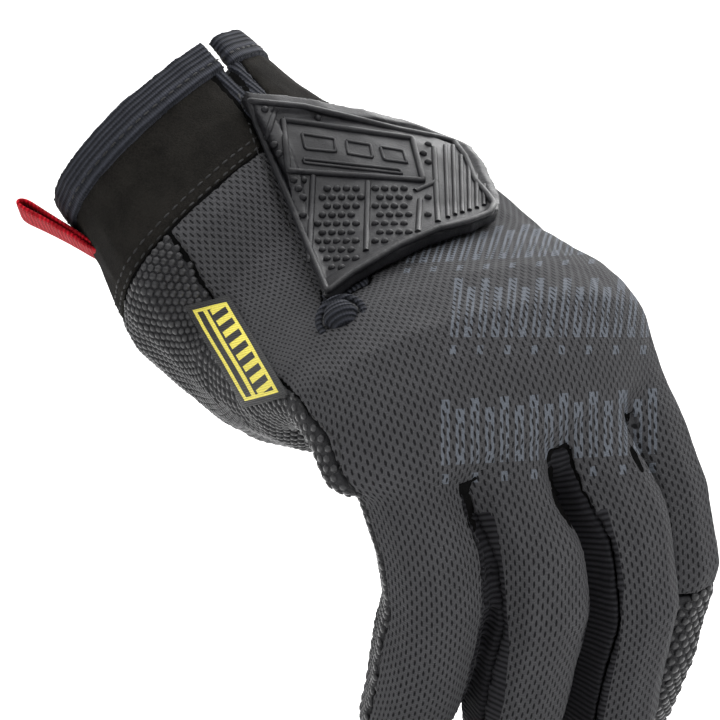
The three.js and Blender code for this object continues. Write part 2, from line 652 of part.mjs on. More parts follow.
const glove = new THREE.Group();
Object.entries(pieces).forEach(([name, solid]) => {
  const material = new THREE.MeshStandardMaterial(FINISHES[name] ?? SIDE_FINISH);
  const body = welded(mainBody(solid).simplify(SIMPLE_TOLERANCE));
  const piece = new THREE.Mesh(geometryOf(body), material);
  piece.name = name;
  glove.add(piece);
});

export default glove;
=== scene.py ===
# %% [markdown]
# A right-hand mechanic glove, worn in shape and held up by its cuff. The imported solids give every
# place and size; this script dresses them in cloth, suede, tape, moulded rubber and stitching.

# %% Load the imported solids
import math
import bmesh
import bpy
import numpy as np
from mathutils import Matrix, Vector, noise
from mathutils.bvhtree import BVHTree
from mathutils.kdtree import KDTree


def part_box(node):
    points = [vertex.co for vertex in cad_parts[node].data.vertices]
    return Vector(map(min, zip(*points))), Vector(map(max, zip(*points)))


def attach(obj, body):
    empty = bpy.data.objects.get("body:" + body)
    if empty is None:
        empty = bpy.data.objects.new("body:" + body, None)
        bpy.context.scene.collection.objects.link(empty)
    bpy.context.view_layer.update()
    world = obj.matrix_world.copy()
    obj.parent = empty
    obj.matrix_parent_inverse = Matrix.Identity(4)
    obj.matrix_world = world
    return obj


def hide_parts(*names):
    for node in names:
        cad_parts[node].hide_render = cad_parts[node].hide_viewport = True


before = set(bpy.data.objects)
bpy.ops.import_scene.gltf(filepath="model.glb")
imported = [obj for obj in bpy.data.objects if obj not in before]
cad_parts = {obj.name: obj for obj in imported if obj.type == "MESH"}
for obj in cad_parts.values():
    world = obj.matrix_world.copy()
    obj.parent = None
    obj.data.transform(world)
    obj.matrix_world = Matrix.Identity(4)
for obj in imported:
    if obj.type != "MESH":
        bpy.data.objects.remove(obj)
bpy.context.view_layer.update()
MM = 0.001
print("solids loaded:", len(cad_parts))

# %% [markdown]
# The camera stands level, about 0.9 m in front of the back of the hand, with a long lens, so the
# glove shows with hardly any perspective. The floor is pale and sweeps up behind into a wall.

# %% Camera, floor and light
FOCAL_PIXELS = 4335
IMAGE_PIXELS = 720
IMAGE_MIDDLE = IMAGE_PIXELS / 2
SENSOR_WIDTH = 36
CAMERA_PLACE = (0.0433, -0.899, -0.0511)
FAR_CLIP = 20
camera_data = bpy.data.cameras.new("camera")
camera_data.lens = SENSOR_WIDTH * FOCAL_PIXELS / IMAGE_PIXELS
camera_data.clip_end = FAR_CLIP
camera = bpy.data.objects.new("camera", camera_data)
camera.location = CAMERA_PLACE
camera.rotation_euler = (math.pi / 2, 0, 0)
bpy.context.scene.collection.objects.link(camera)
bpy.context.scene.camera = camera


def make_object(name, mesh, *materials):
    """A piece of the scene, at the origin, with its materials."""
    piece = bpy.data.objects.new(name, mesh)
    bpy.context.scene.collection.objects.link(piece)
    for material in materials:
        mesh.materials.append(material)
    return piece


def mesh_from(bm, name, smooth=True):
    """A mesh made of a bmesh, which is then freed."""
    for face in bm.faces:
        face.smooth = smooth
    mesh = bpy.data.meshes.new(name)
    bm.to_mesh(mesh)
    bm.free()
    return mesh


def evaluated_mesh(piece):
    """The mesh that a piece has once its modifiers are applied."""
    graph = bpy.context.evaluated_depsgraph_get()
    return bpy.data.meshes.new_from_object(piece.evaluated_get(graph))


FLOOR_HEIGHT = -0.152
FLOOR_REACH = 4
SWEEP_START = 1.6
SWEEP_RADIUS = 0.8
SWEEP_STEPS = 12
profile = [(-FLOOR_REACH, FLOOR_HEIGHT), (SWEEP_START, FLOOR_HEIGHT)]
for step in range(1, SWEEP_STEPS + 1):
    turn = step / SWEEP_STEPS * math.pi / 2
    profile.append((SWEEP_START + SWEEP_RADIUS * math.sin(turn),
                    FLOOR_HEIGHT + SWEEP_RADIUS * (1 - math.cos(turn))))
profile.append((SWEEP_START + SWEEP_RADIUS, FLOOR_REACH))
bm = bmesh.new()
line = [bm.verts.new((-FLOOR_REACH, y, z)) for y, z in profile]
edges = [bm.edges.new(pair) for pair in zip(line, line[1:])]
made = bmesh.ops.extrude_edge_only(bm, edges=edges)
moved = [item for item in made["geom"] if isinstance(item, bmesh.types.BMVert)]
bmesh.ops.translate(bm, verts=moved, vec=(2 * FLOOR_REACH, 0, 0))
bmesh.ops.recalc_face_normals(bm, faces=bm.faces)
floor_paint = bpy.data.materials.new("pale floor")
floor_paint.use_nodes = True
paint = floor_paint.node_tree.nodes["Principled BSDF"].inputs
paint["Base Color"].default_value = (0.9, 0.9, 0.9, 1)
paint["Roughness"].default_value = 0.9
floor = make_object("floor", mesh_from(bm, "floor"), floor_paint)

GLOVE_MIDDLE = (0.045, -0.02, -0.06)
WALL_MIDDLE = (0, 2.4, 0.2)
WORLD_STRENGTH = 0.42
LIGHTS = [
    {"name": "key", "place": (0.55, -0.75, 0.75), "size": 0.7, "power": 9, "aim": GLOVE_MIDDLE},
    {"name": "fill", "place": (-0.9, -0.9, 0.1), "size": 1.0, "power": 4, "aim": GLOVE_MIDDLE},
    {"name": "rim", "place": (0.5, 0.7, 0.7), "size": 0.8, "power": 9, "aim": GLOVE_MIDDLE},
    {"name": "wall", "place": (0.0, 0.6, 1.6), "size": 2.5, "power": 80, "aim": WALL_MIDDLE},
]
for entry in LIGHTS:
    lamp = bpy.data.lights.new(entry["name"], "AREA")
    lamp.size = entry["size"]
    lamp.energy = entry["power"]
    light = bpy.data.objects.new(entry["name"], lamp)
    light.location = entry["place"]
    way = Vector(entry["aim"]) - Vector(entry["place"])
    light.rotation_euler = way.to_track_quat("-Z", "Y").to_euler()
    bpy.context.scene.collection.objects.link(light)
world = bpy.data.worlds.new("studio")
world.use_nodes = True
world.node_tree.nodes["Background"].inputs["Color"].default_value = (1, 1, 1, 1)
world.node_tree.nodes["Background"].inputs["Strength"].default_value = WORLD_STRENGTH
bpy.context.scene.world = world
bpy.context.scene.view_settings.view_transform = "Standard"
print("camera at", tuple(camera.location), "lens", camera_data.lens)

# %% [markdown]
# Finishes are built from small node groups: a fibre grain for cloth and suede, ribs for woven tape,
# and the staggered slots of the knit. Each group puts out a mask and a height, and each material
# feeds them to its own shader with its own colours.

# %% Node groups for grain, ribs and slots


def add(tree, kind, **inputs):
    """A node with its inputs set to values or linked to sockets."""
    node = tree.nodes.new(kind)
    for key, value in inputs.items():
        socket = node.inputs[key]
        if isinstance(value, bpy.types.NodeSocket):
            tree.links.new(value, socket)
        else:
            socket.default_value = value
    return node


def calc(tree, operation, *values, clamp=False):
    """The result of a Math node."""
    node = tree.nodes.new("ShaderNodeMath")
    node.operation = operation
    node.use_clamp = clamp
    for place, value in enumerate(values):
        if isinstance(value, bpy.types.NodeSocket):
            tree.links.new(value, node.inputs[place])
        else:
            node.inputs[place].default_value = value
    return node.outputs[0]


def soft_step(tree, value, low, high):
    """0 below low, 1 above high and smooth between them."""
    node = add(tree, "ShaderNodeMapRange", Value=value)
    node.interpolation_type = "SMOOTHSTEP"
    node.inputs["From Min"].default_value = low
    node.inputs["From Max"].default_value = high
    return node.outputs["Result"]


def off_from(tree, value, middle):
    """How far a value lies from a middle, on either side."""
    return calc(tree, "ABSOLUTE", calc(tree, "SUBTRACT", value, middle))


def near(tree, value, middle, reach):
    """1 where a value lies within a reach of a middle, else 0."""
    return calc(tree, "LESS_THAN", off_from(tree, value, middle), reach)


def new_group(name, inputs, outputs):
    """A shader node group, with its input and output nodes."""
    tree = bpy.data.node_groups.new(name, "ShaderNodeTree")
    for label, kind in inputs:
        tree.interface.new_socket(label, in_out="INPUT", socket_type=kind)
    for label in outputs:
        tree.interface.new_socket(label, in_out="OUTPUT", socket_type="NodeSocketFloat")
    return tree, tree.nodes.new("NodeGroupInput"), tree.nodes.new("NodeGroupOutput")


def use(tree, group, **inputs):
    """The outputs of a node group placed in a tree."""
    node = tree.nodes.new("ShaderNodeGroup")
    node.node_tree = group
    for key, value in inputs.items():
        if isinstance(value, bpy.types.NodeSocket):
            tree.links.new(value, node.inputs[key])
        else:
            node.inputs[key].default_value = value
    return node.outputs


COARSE_SHARE = 0.06
FINE_WEIGHT = 0.6
grain, grain_in, grain_out = new_group(
    "fibre grain", [("Vector", "NodeSocketVector"), ("Scale", "NodeSocketFloat")],
    ["Tone", "Height"])
fine = add(grain, "ShaderNodeTexNoise", Vector=grain_in.outputs["Vector"],
           Scale=grain_in.outputs["Scale"], Detail=4.0, Roughness=0.7)
coarse_scale = calc(grain, "MULTIPLY", grain_in.outputs["Scale"], COARSE_SHARE)
coarse = add(grain, "ShaderNodeTexNoise", Vector=grain_in.outputs["Vector"], Scale=coarse_scale,
             Detail=3.0, Roughness=0.6)
tone = calc(grain, "ADD", calc(grain, "MULTIPLY", fine.outputs["Fac"], FINE_WEIGHT),
            calc(grain, "MULTIPLY", coarse.outputs["Fac"], 1 - FINE_WEIGHT))
grain.links.new(tone, grain_out.inputs["Tone"])
grain.links.new(fine.outputs["Fac"], grain_out.inputs["Height"])

ribs, ribs_in, ribs_out = new_group(
    "woven ribs", [("Along", "NodeSocketFloat"), ("Pitch", "NodeSocketFloat")], ["Height"])
turns = calc(ribs, "DIVIDE", ribs_in.outputs["Along"], ribs_in.outputs["Pitch"])
wave = calc(ribs, "SINE", calc(ribs, "MULTIPLY", turns, math.tau))
ribs.links.new(calc(ribs, "MULTIPLY_ADD", wave, 0.5, 0.5), ribs_out.inputs["Height"])

SLOT_PITCH = 0.0021
SLOT_ROW = 0.0009
SLOT_HALF_LENGTH = 0.37
SLOT_HALF_HEIGHT = 0.26
SLOT_EDGE = (0.55, 1.05)
RIB_HEIGHT = 0.12
YARN_HEIGHT = 0.1
YARNS_PER_SLOT = 4
slots, slots_in, slots_out = new_group("knit slots", [("Weave", "NodeSocketVector")],
                                       ["Slot", "Height"])
parts = add(slots, "ShaderNodeSeparateXYZ", Vector=slots_in.outputs["Weave"]).outputs
row = calc(slots, "DIVIDE", parts["Y"], SLOT_ROW)
stagger = calc(slots, "MULTIPLY", calc(slots, "FLOOR", row), 0.5)
place = calc(slots, "ADD", calc(slots, "DIVIDE", parts["X"], SLOT_PITCH), stagger)
squares = []
for value, half in ((place, SLOT_HALF_LENGTH), (row, SLOT_HALF_HEIGHT)):
    off = off_from(slots, calc(slots, "FRACT", value), 0.5)
    squares.append(calc(slots, "POWER", calc(slots, "DIVIDE", off, half), 2.0))
far = calc(slots, "SQRT", calc(slots, "ADD", *squares))
slot_mask = calc(slots, "SUBTRACT", 1.0, soft_step(slots, far, *SLOT_EDGE))
rib_wave = calc(slots, "SINE", calc(slots, "MULTIPLY", row, math.tau))
rib_fine = calc(slots, "SINE", calc(slots, "MULTIPLY", place, math.tau * YARNS_PER_SLOT))
waves = calc(slots, "ADD", calc(slots, "MULTIPLY", rib_wave, RIB_HEIGHT),
             calc(slots, "MULTIPLY", rib_fine, YARN_HEIGHT))
height = calc(slots, "SUBTRACT", waves, slot_mask)
slots.links.new(slot_mask, slots_out.inputs["Slot"])
slots.links.new(height, slots_out.inputs["Height"])
print("node groups:", [group.name for group in bpy.data.node_groups])

# %% [markdown]
# Each finish feeds those masks to its own shader. Suede, grip cloth, pads, rubber, lining and
# thread differ in grain and shine, and the tapes in the pitch of their ribs. The knit also carries
# the worn print on the knuckles, and turns to a side knit with ribs beside two of the fingers'
# seams.
# The side knit is darker than the knit of the back; that darkness is partly painted shade of the
# narrow gaps between the fingers.

# %% Finishes


def start_finish(name, roughness, shine=0.5):
    """A material, its tree, its shader and the object's coordinates."""
    material = bpy.data.materials.new(name)
    material.use_nodes = True
    tree = material.node_tree
    shader = tree.nodes["Principled BSDF"]
    shader.inputs["Roughness"].default_value = roughness
    shader.inputs["Specular IOR Level"].default_value = shine
    where = tree.nodes.new("ShaderNodeTexCoord").outputs["Object"]
    return material, tree, shader, where


def blended(tree, mask, first, second):
    """A colour between two sockets or colours, by a mask."""
    node = tree.nodes.new("ShaderNodeMix")
    node.data_type = "RGBA"
    for key, value in (("A", first), ("B", second)):
        if isinstance(value, bpy.types.NodeSocket):
            tree.links.new(value, node.inputs[key])
        else:
            node.inputs[key].default_value = (*value, 1)
    tree.links.new(mask, node.inputs["Factor"])
    return node.outputs["Result"]


def bumped(tree, shader, height, distance, strength=1.0):
    """The shader's normal is bumped by a height of a real distance."""
    node = add(tree, "ShaderNodeBump", Height=height, Distance=distance, Strength=strength)
    tree.links.new(node.outputs["Normal"], shader.inputs["Normal"])


def attribute(tree, name):
    """The piece's own attribute."""
    node = tree.nodes.new("ShaderNodeAttribute")
    node.attribute_name = name
    return node.outputs["Vector"]


def parts_of(tree, vector):
    """The X, Y and Z of a vector."""
    return add(tree, "ShaderNodeSeparateXYZ", Vector=vector).outputs


def grain_finish(name, dark, light, roughness, scale, depth, shine):
    """Cloth, suede or rubber with an even fibre grain."""
    material, tree, shader, where = start_finish(name, roughness, shine)
    fibres = use(tree, grain, Vector=where, Scale=scale)
    colour = blended(tree, soft_step(tree, fibres["Tone"], 0.3, 0.7), dark, light)
    tree.links.new(colour, shader.inputs["Base Color"])
    bumped(tree, shader, fibres["Height"], depth)
    return material


def ribbed_finish(name, dark, light, roughness, depth, shine, pitch, cross_pitch=None,
                  cross_share=0.0, fibrous=True):
    """Woven stuff with ribs along its threads, and often finer ones across them."""
    material, tree, shader, where = start_finish(name, roughness, shine)
    weave = parts_of(tree, attribute(tree, "weave"))
    rungs = height = use(tree, ribs, Along=weave["X"], Pitch=pitch)["Height"]
    if cross_pitch:
        cross = use(tree, ribs, Along=weave["Y"], Pitch=cross_pitch)["Height"]
        height = calc(tree, "ADD", rungs, calc(tree, "MULTIPLY", cross, cross_share))
    shade = use(tree, grain, Vector=where, Scale=2400.0)["Tone"] if fibrous else cross
    colour = blended(tree, calc(tree, "MULTIPLY", rungs, shade), dark, light)
    tree.links.new(colour, shader.inputs["Base Color"])
    bumped(tree, shader, height, depth)
    return material


suede = grain_finish("black suede", (0.004, 0.0037, 0.0033), (0.015, 0.0138, 0.012),
                     roughness=0.95, scale=2600.0, depth=0.0003, shine=0.08)
grip_base = grain_finish("grip cloth", (0.006, 0.006, 0.007), (0.02, 0.02, 0.022),
                         roughness=0.7, scale=3000.0, depth=0.0002, shine=0.2)
grip_pad = grain_finish("grip pads", (0.009, 0.009, 0.01), (0.024, 0.024, 0.026),
                        roughness=0.38, scale=1800.0, depth=0.00012, shine=0.3)
rubber = grain_finish("moulded rubber", (0.006, 0.006, 0.007), (0.014, 0.014, 0.016),
                      roughness=0.42, scale=1600.0, depth=0.0001, shine=0.16)
lining = grain_finish("plain lining", (0.02, 0.02, 0.022), (0.05, 0.05, 0.053),
                      roughness=0.95, scale=1500.0, depth=0.0003, shine=0.1)
thread = grain_finish("black thread", (0.004, 0.004, 0.004), (0.02, 0.02, 0.021),
                      roughness=0.6, scale=4000.0, depth=0.0001, shine=0.3)
# Near black with no shine: partly the turned-in cloth, partly painted shade inside the seams.
seam_core_shade = grain_finish("turned edges with seam shade", (0.002, 0.002, 0.002), (0.006, 0.006, 0.006),
                           roughness=0.9, scale=4000.0, depth=0.0001, shine=0.0)
# The side knit's dark colours are partly painted shade of the narrow gaps between the fingers.
side_knit = ribbed_finish("ribbed side knit with gap shade", (0.004, 0.004, 0.005), (0.03, 0.03, 0.034),
                          roughness=0.85, depth=0.0004, shine=0.1, pitch=0.0012)
tape = ribbed_finish("ribbed tape", (0.008, 0.009, 0.012), (0.05, 0.053, 0.068),
                     roughness=0.85, depth=0.0005, shine=0.15, pitch=0.00105,
                     cross_pitch=0.0006, cross_share=0.25)
webbing = ribbed_finish("red webbing", (0.22, 0.002, 0.006), (0.5, 0.006, 0.018),
                        roughness=0.75, depth=0.0003, shine=0.1, pitch=0.0009,
                        cross_pitch=0.0012, cross_share=1.0, fibrous=False)

# The print's rows of bars, in shares of a bar's cell: every other bar is taller and has a tick
PRINT_COUNT = 3
BAR_HALF_WIDTH = 0.3
BAR_FOOT = 0.2
BAR_TOP = 0.88
SLIT_HALF_WIDTH = 0.09
SLIT_MIDDLE = 0.52
SLIT_HALF_HEIGHT = 0.18
TICK_MIDDLE = 0.03
TICK_HALF_HEIGHT = 0.06
TICK_HALF_WIDTH = 0.22
INK = (0.1, 0.112, 0.132)
SLOT_SHADE = (0.006, 0.006, 0.007)
knit, tree, shader, where = start_finish("slotted knit", 0.85, 0.15)
weave = attribute(tree, "weave")
holes = use(tree, slots, Weave=weave)
fibres = use(tree, grain, Vector=where, Scale=2200.0)
yarn = blended(tree, fibres["Tone"], (0.024, 0.024, 0.026), (0.066, 0.066, 0.07))
masks = []
for number in range(PRINT_COUNT):
    lines = parts_of(tree, attribute(tree, f"print_{number}"))
    across, up = lines["X"], lines["Y"]
    cell = calc(tree, "FRACT", across)
    even = calc(tree, "LESS_THAN", calc(tree, "FRACT", calc(tree, "MULTIPLY", calc(
        tree, "FLOOR", across), 0.5)), 0.25)
    bar = near(tree, cell, 0.5, BAR_HALF_WIDTH)
    slit = near(tree, cell, 0.5, SLIT_HALF_WIDTH)
    slit_reach = calc(tree, "MULTIPLY_ADD", even, 0.14, SLIT_HALF_HEIGHT)
    open_part = near(tree, up, SLIT_MIDDLE, slit_reach)
    shape = calc(tree, "SUBTRACT", bar, calc(tree, "MULTIPLY", slit, open_part), clamp=True)
    top = calc(tree, "MULTIPLY_ADD", even, 0.12, BAR_TOP)
    tall = calc(tree, "MULTIPLY", calc(tree, "GREATER_THAN", up, BAR_FOOT),
                calc(tree, "LESS_THAN", up, top))
    tick = calc(tree, "MULTIPLY", near(tree, up, TICK_MIDDLE, TICK_HALF_HEIGHT), calc(
        tree, "MULTIPLY", even, near(tree, cell, 0.5, TICK_HALF_WIDTH)))
    inside = calc(tree, "LESS_THAN", calc(tree, "ABSOLUTE", lines["Z"]), 1.0)
    masks.append(calc(tree, "MULTIPLY", inside, calc(
        tree, "ADD", calc(tree, "MULTIPLY", shape, tall), tick, clamp=True)))
print_mask = calc(tree, "MAXIMUM", masks[0], calc(tree, "MAXIMUM", masks[1], masks[2]))
worn = calc(tree, "MULTIPLY", print_mask, calc(tree, "MULTIPLY_ADD", fibres["Tone"], 0.5, 0.5))
inked = blended(tree, worn, yarn, INK)
slotted = blended(tree, holes["Slot"], inked, SLOT_SHADE)
# Beside two seams the knit of the back turns to dark side knit with ribs: real ribs, and a dark
# colour that is partly painted shade of the gaps between the fingers.
edge = parts_of(tree, attribute(tree, "seam_side"))
side_knit_shade_mask = soft_step(tree, edge["X"], 0.1, 1.0)
rungs = use(tree, ribs, Along=parts_of(tree, weave)["X"], Pitch=0.0012)["Height"]
ribbed = blended(tree, rungs, (0.003, 0.003, 0.004), (0.022, 0.022, 0.025))
tree.links.new(blended(tree, side_knit_shade_mask, slotted, ribbed), shader.inputs["Base Color"])
yarn_height = calc(tree, "ADD", holes["Height"], calc(tree, "MULTIPLY", fibres["Height"], 0.5))
knit_height = calc(tree, "MULTIPLY", yarn_height, calc(tree, "SUBTRACT", 1.0, side_knit_shade_mask))
bumped(tree, shader, calc(tree, "ADD", knit_height, calc(tree, "MULTIPLY", rungs, side_knit_shade_mask)),
       0.00045, 0.8)
print("finishes:", [material.name for material in bpy.data.materials])

# %% [markdown]
# A glove is sewn from flat panels over a hand, so each pattern runs along a limb: the hand, four
# fingers and a thumb. A centre line through each limb gives every point a distance along the limb
# and a distance round it, and those two numbers carry the knit, the ribs and the rows of pads.

# %% Centre lines of the limbs
LIMBS = {
    "hand": {"points": [(-11, 3, 10), (0, 0, 0), (11.2, -3.1, -10.3), (23.8, -6.6, -21.8),
                        (36.3, -10.0, -33.3), (50.2, -24.9, -43.3), (58.3, -40.0, -47.4),
                        (67.3, -56.8, -52.0), (70.8, -57.6, -62.4)],
             "across": [(6.3, 6.0, 5.0), (8.5, 4.4, 3.0), (8.4, 5.2, 1.8), (7.2, 6.3, 2.8)],
             "half": (36, 20)},
    "little": {"points": [(49.2, -76.8, -63.2), (54.5, -71.1, -87.0), (54.3, -62.8, -103.3),
                          (51.9, -53.8, -114.9), (49.6, -44.4, -122.8), (46.5, -32.0, -134.0)],
               "across": [(9.7, 0.5, 2.2)], "half": (10.3, 11.3)},
    "ring": {"points": [(65.9, -70.6, -57.6), (72.4, -64.2, -86.4), (71.9, -54.2, -106.9),
                        (69.1, -43.2, -121.8), (66.6, -32.5, -131.5), (63.8, -20.0, -143.0)],
             "across": [(8.9, 3.6, 2.7)], "half": (10.3, 11.3)},
    "middle": {"points": [(80.3, -58.0, -49.9), (89.2, -52.3, -83.8), (89.6, -41.9, -107.7),
                          (86.9, -30.3, -124.6), (84.5, -19.4, -135.0), (81.7, -7.0, -147.0)],
               "across": [(5.1, 8.1, 2.8)], "half": (10.3, 11.3)},
    "index": {"points": [(88.5, -42.5, -42.4), (100.8, -37.9, -76.5), (101.4, -29.4, -98.6),
                         (98.1, -19.5, -113.5), (95.5, -8.8, -123.2), (92.3, 4.0, -135.0)],
              "across": [(7.2, 6.0, 3.4)], "half": (10.3, 11.3)},
    "thumb": {"points": [(43.7, 4.2, -25.2), (57.2, 7.6, -37.2), (70.1, 10.5, -50.1),
                         (79.5, 12.8, -64.2), (85.5, 14.8, -79.8), (90.7, 16.8, -97.4),
                         (94.5, 18.3, -110.0)],
              "across": [(1.1, 9.2, 3.8)], "half": (12, 12)},
}
LINE_STEP = 0.5
CENTRE_ROUNDS = 40
WAY_ROUNDS = 60
RING_ANGLES = 361


def dense_line(points):
    """Points half a millimetre apart on a broken line."""
    points = np.array(points, float)
    lengths = np.r_[0, np.cumsum(np.linalg.norm(np.diff(points, axis=0), axis=1))]
    steps = np.arange(0, lengths[-1], LINE_STEP)
    return np.stack([np.interp(steps, lengths, points[:, axis]) for axis in range(3)], 1)


def unit(rows):
    """Rows of vectors, each made one long."""
    return rows / np.linalg.norm(rows, axis=-1, keepdims=True)


def make_limb(points, across, half):
    """The frames along a limb: centres, ways along, ways across and ways out of the back."""
    centres = dense_line(points)
    for _ in range(CENTRE_ROUNDS):
        centres[1:-1] = (centres[:-2] + centres[2:] + 2 * centres[1:-1]) / 4
    along = unit(np.gradient(centres, axis=0))
    for _ in range(WAY_ROUNDS):
        along[1:-1] = unit(along[:-2] + along[2:] + 2 * along[1:-1])
    shares = np.linspace(0, 1, len(centres))
    hints = np.array(across, float)
    if len(hints) == 1:
        hints = np.repeat(hints, 2, 0)
    sides = np.stack([np.interp(shares, np.linspace(0, 1, len(hints)), hints[:, axis])
                      for axis in range(3)], 1)
    sides = unit(sides - along * np.sum(sides * along, 1)[:, None])
    angles = np.linspace(-math.pi, math.pi, RING_ANGLES)
    outline = np.stack([half[0] * np.sin(angles), half[1] * np.cos(angles)], 1)
    arcs = np.r_[0, np.cumsum(np.linalg.norm(np.diff(outline, axis=0), axis=1))]
    return {"centres": centres * MM, "along": along, "across": sides,
            "back": np.cross(along, sides), "half": half, "angles": angles,
            "arcs": (arcs - np.interp(0, angles, arcs)) * MM}


limbs = {name: make_limb(**limb) for name, limb in LIMBS.items()}
print("limb lengths in mm:",
      {name: len(limb["centres"]) * LINE_STEP for name, limb in limbs.items()})


def point_tree(places):
    """A tree for finding the nearest of some points."""
    tree = KDTree(len(places))
    for number, place in enumerate(places):
        tree.insert(place, number)
    tree.balance()
    return tree


def nearest_on(limb, places):
    """For points, the nearest frame of a limb and how far off it lies."""
    tree = point_tree(limb["centres"])
    found = [tree.find(place) for place in places]
    return np.array([item[1] for item in found]), np.array([item[2] for item in found])


def limb_map(places, names):
    """Each point's distance along and round its nearest limb, its way out and the limb's way."""
    best = np.full(len(places), np.inf)
    weave = np.zeros((len(places), 3))
    outward = np.zeros((len(places), 3))
    ways = np.zeros((len(places), 3))
    for order, name in enumerate(names):
        limb = limbs[name]
        number, distance = nearest_on(limb, places)
        offset = places - limb["centres"][number]
        aside = np.sum(offset * limb["across"][number], 1)
        above = np.sum(offset * limb["back"][number], 1)
        reach = distance / (sum(limb["half"]) / 2)
        turn = np.arctan2(aside / limb["half"][0], above / limb["half"][1])
        arc = np.interp(turn, limb["angles"], limb["arcs"])
        nearer = reach < best
        best = np.where(nearer, reach, best)
        rows = np.stack([number * LINE_STEP * MM, arc, np.full(len(places), order)], 1)
        weave[nearer] = rows[nearer]
        outward[nearer] = offset[nearer]
        ways[nearer] = limb["along"][number][nearer]
    return weave, outward, ways


# %% [markdown]
# The solids are faceted. Sewn cloth is smooth, so all cloth is fused into one skin at a coarse
# grain and smoothed, and each panel, cut out finely, then moves with that skin. So the seams stay
# where they are and their edges keep their width, which smoothing panel by panel would spoil.

# %% Smooth skin of the whole glove
CLOTH = ["back_panel", "palm_panel", "fourchette_little_ring", "fourchette_ring_middle",
         "fourchette_middle_index", "index_tip_guard", "thumb_front", "thumb_back", "cuff_band",
         "cuff_binding", "slit_binding"]
SKIN_VOXEL = 1.0 * MM
PANEL_VOXEL = 0.7 * MM
LARGE_VOXEL = 0.84 * MM


def remeshed(names, voxel):
    """A mesh of small even faces round some of the solids."""
    bm = bmesh.new()
    for name in names:
        bm.from_mesh(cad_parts[name].data)
    bmesh.ops.remove_doubles(bm, verts=bm.verts, dist=1e-6)
    source = make_object("remesh source", mesh_from(bm, "remesh source"))
    modifier = source.modifiers.new("voxels", "REMESH")
    modifier.mode = "VOXEL"
    modifier.voxel_size = voxel
    modifier.use_smooth_shade = True
    mesh = evaluated_mesh(source)
    bpy.data.objects.remove(source)
    return mesh


def rows_of(items, name):
    """A vector that each vertex or face holds, as rows of numbers."""
    flat = np.empty(len(items) * 3)
    items.foreach_get(name, flat)
    return flat.reshape(-1, 3)


def vertex_places(mesh):
    """The mesh's vertices as rows of numbers."""
    return rows_of(mesh.vertices, "co")


def put_vertices(mesh, places):
    """The mesh's vertices move to new places."""
    mesh.vertices.foreach_set("co", places.ravel())
    mesh.update()


def edge_ends(mesh):
    """The first and the second vertices of the mesh's edges."""
    ends = np.empty(len(mesh.edges) * 2, int)
    mesh.edges.foreach_get("vertices", ends)
    return ends.reshape(-1, 2).T


def averager(mesh):
    """A function that gives, for each vertex, the mean of its neighbours' values."""
    first, second = edge_ends(mesh)
    count = np.bincount(np.r_[first, second], minlength=len(mesh.vertices))

    def mean(values):
        total = np.stack([np.bincount(first, values[second, axis], len(count))
                          + np.bincount(second, values[first, axis], len(count))
                          for axis in range(3)], 1)
        return total / np.maximum(count, 1)[:, None]
    return mean


SKIN_ROUNDS = 45
SHRINK = 0.5
GROW = 0.515
KNUCKLE_ROUNDS = 70
LEAN_ROUNDS = 40
LEAN_START = 2
LEAN_RUN = 26
skin = remeshed(CLOTH, SKIN_VOXEL)
skin_start = vertex_places(skin)
mean = averager(skin)
skin_end = skin_start.copy()
for _ in range(SKIN_ROUNDS):
    skin_end += SHRINK * (mean(skin_end) - skin_end)
    skin_end -= GROW * (mean(skin_end) - skin_end)
KNUCKLES = [((0.051, -0.087, -0.066), 0.011), ((0.067, -0.082, -0.062), 0.012),
            ((0.083, -0.068, -0.057), 0.013), ((0.098, -0.052, -0.05), 0.012),
            ((0.060, -0.074, -0.071), 0.007), ((0.078, -0.064, -0.065), 0.007),
            ((0.092, -0.048, -0.057), 0.007)]
soft = np.zeros(len(skin_start))
for place, reach in KNUCKLES:
    distance = np.linalg.norm(skin_start - np.array(place), axis=1)
    soft = np.maximum(soft, np.clip(1.6 - distance / reach, 0, 1))
for _ in range(KNUCKLE_ROUNDS):
    skin_end += (SHRINK * soft)[:, None] * (mean(skin_end) - skin_end)
# How far each finger's cloth leans toward the thumb's side, in millimetres, to meet the photo
LEAN = {"little": 1.8, "ring": 4.2, "middle": 4.2, "index": 1.0}
skin_weave, _, _ = limb_map(skin_start, list(LIMBS))
lean = np.zeros(len(skin_start))
for order, name in enumerate(LIMBS):
    if name in LEAN:
        run = np.clip((skin_weave[:, 0] / MM - LEAN_START) / LEAN_RUN, 0, 1)
        eased = LEAN[name] * MM * run * run * (3 - 2 * run)
        lean = np.where(skin_weave[:, 2] == order, eased, lean)
lean = np.stack([lean, np.zeros_like(lean), np.zeros_like(lean)], 1)
for _ in range(LEAN_ROUNDS):
    lean = mean(lean)
skin_end += lean
skin_move = skin_end - skin_start
skin_tree = point_tree(skin_start)
skin_surface = BVHTree.FromPolygons([tuple(place) for place in skin_end],
                                    [tuple(face.vertices) for face in skin.polygons])
print("skin vertices:", len(skin_start), "largest move in mm:",
      round(float(np.linalg.norm(skin_move, axis=1).max()) * 1000, 2))

# %% [markdown]
# Soft cloth is never quite even. A slow noise pushes the skin in and out by a few tenths of a
# millimetre, and a few soft folds push it more where the wrist and the knuckles bend, as on a used
# glove.

# %% Panels of cloth
# Each fold's centre, way along, half width, half length and depth, in metres
FOLDS = [
    ((0.0475, -0.094, -0.0775), (0.9, 0.1, 0.42), 0.0036, 0.009, -0.0009),
    ((0.0475, -0.092, -0.0715), (0.9, 0.1, 0.42), 0.003, 0.009, 0.0006),
    ((0.034, -0.06, -0.066), (0.5, -0.6, -0.6), 0.003, 0.012, -0.0009),
    ((0.026, -0.045, -0.06), (0.5, -0.6, -0.6), 0.0035, 0.012, 0.0007),
]
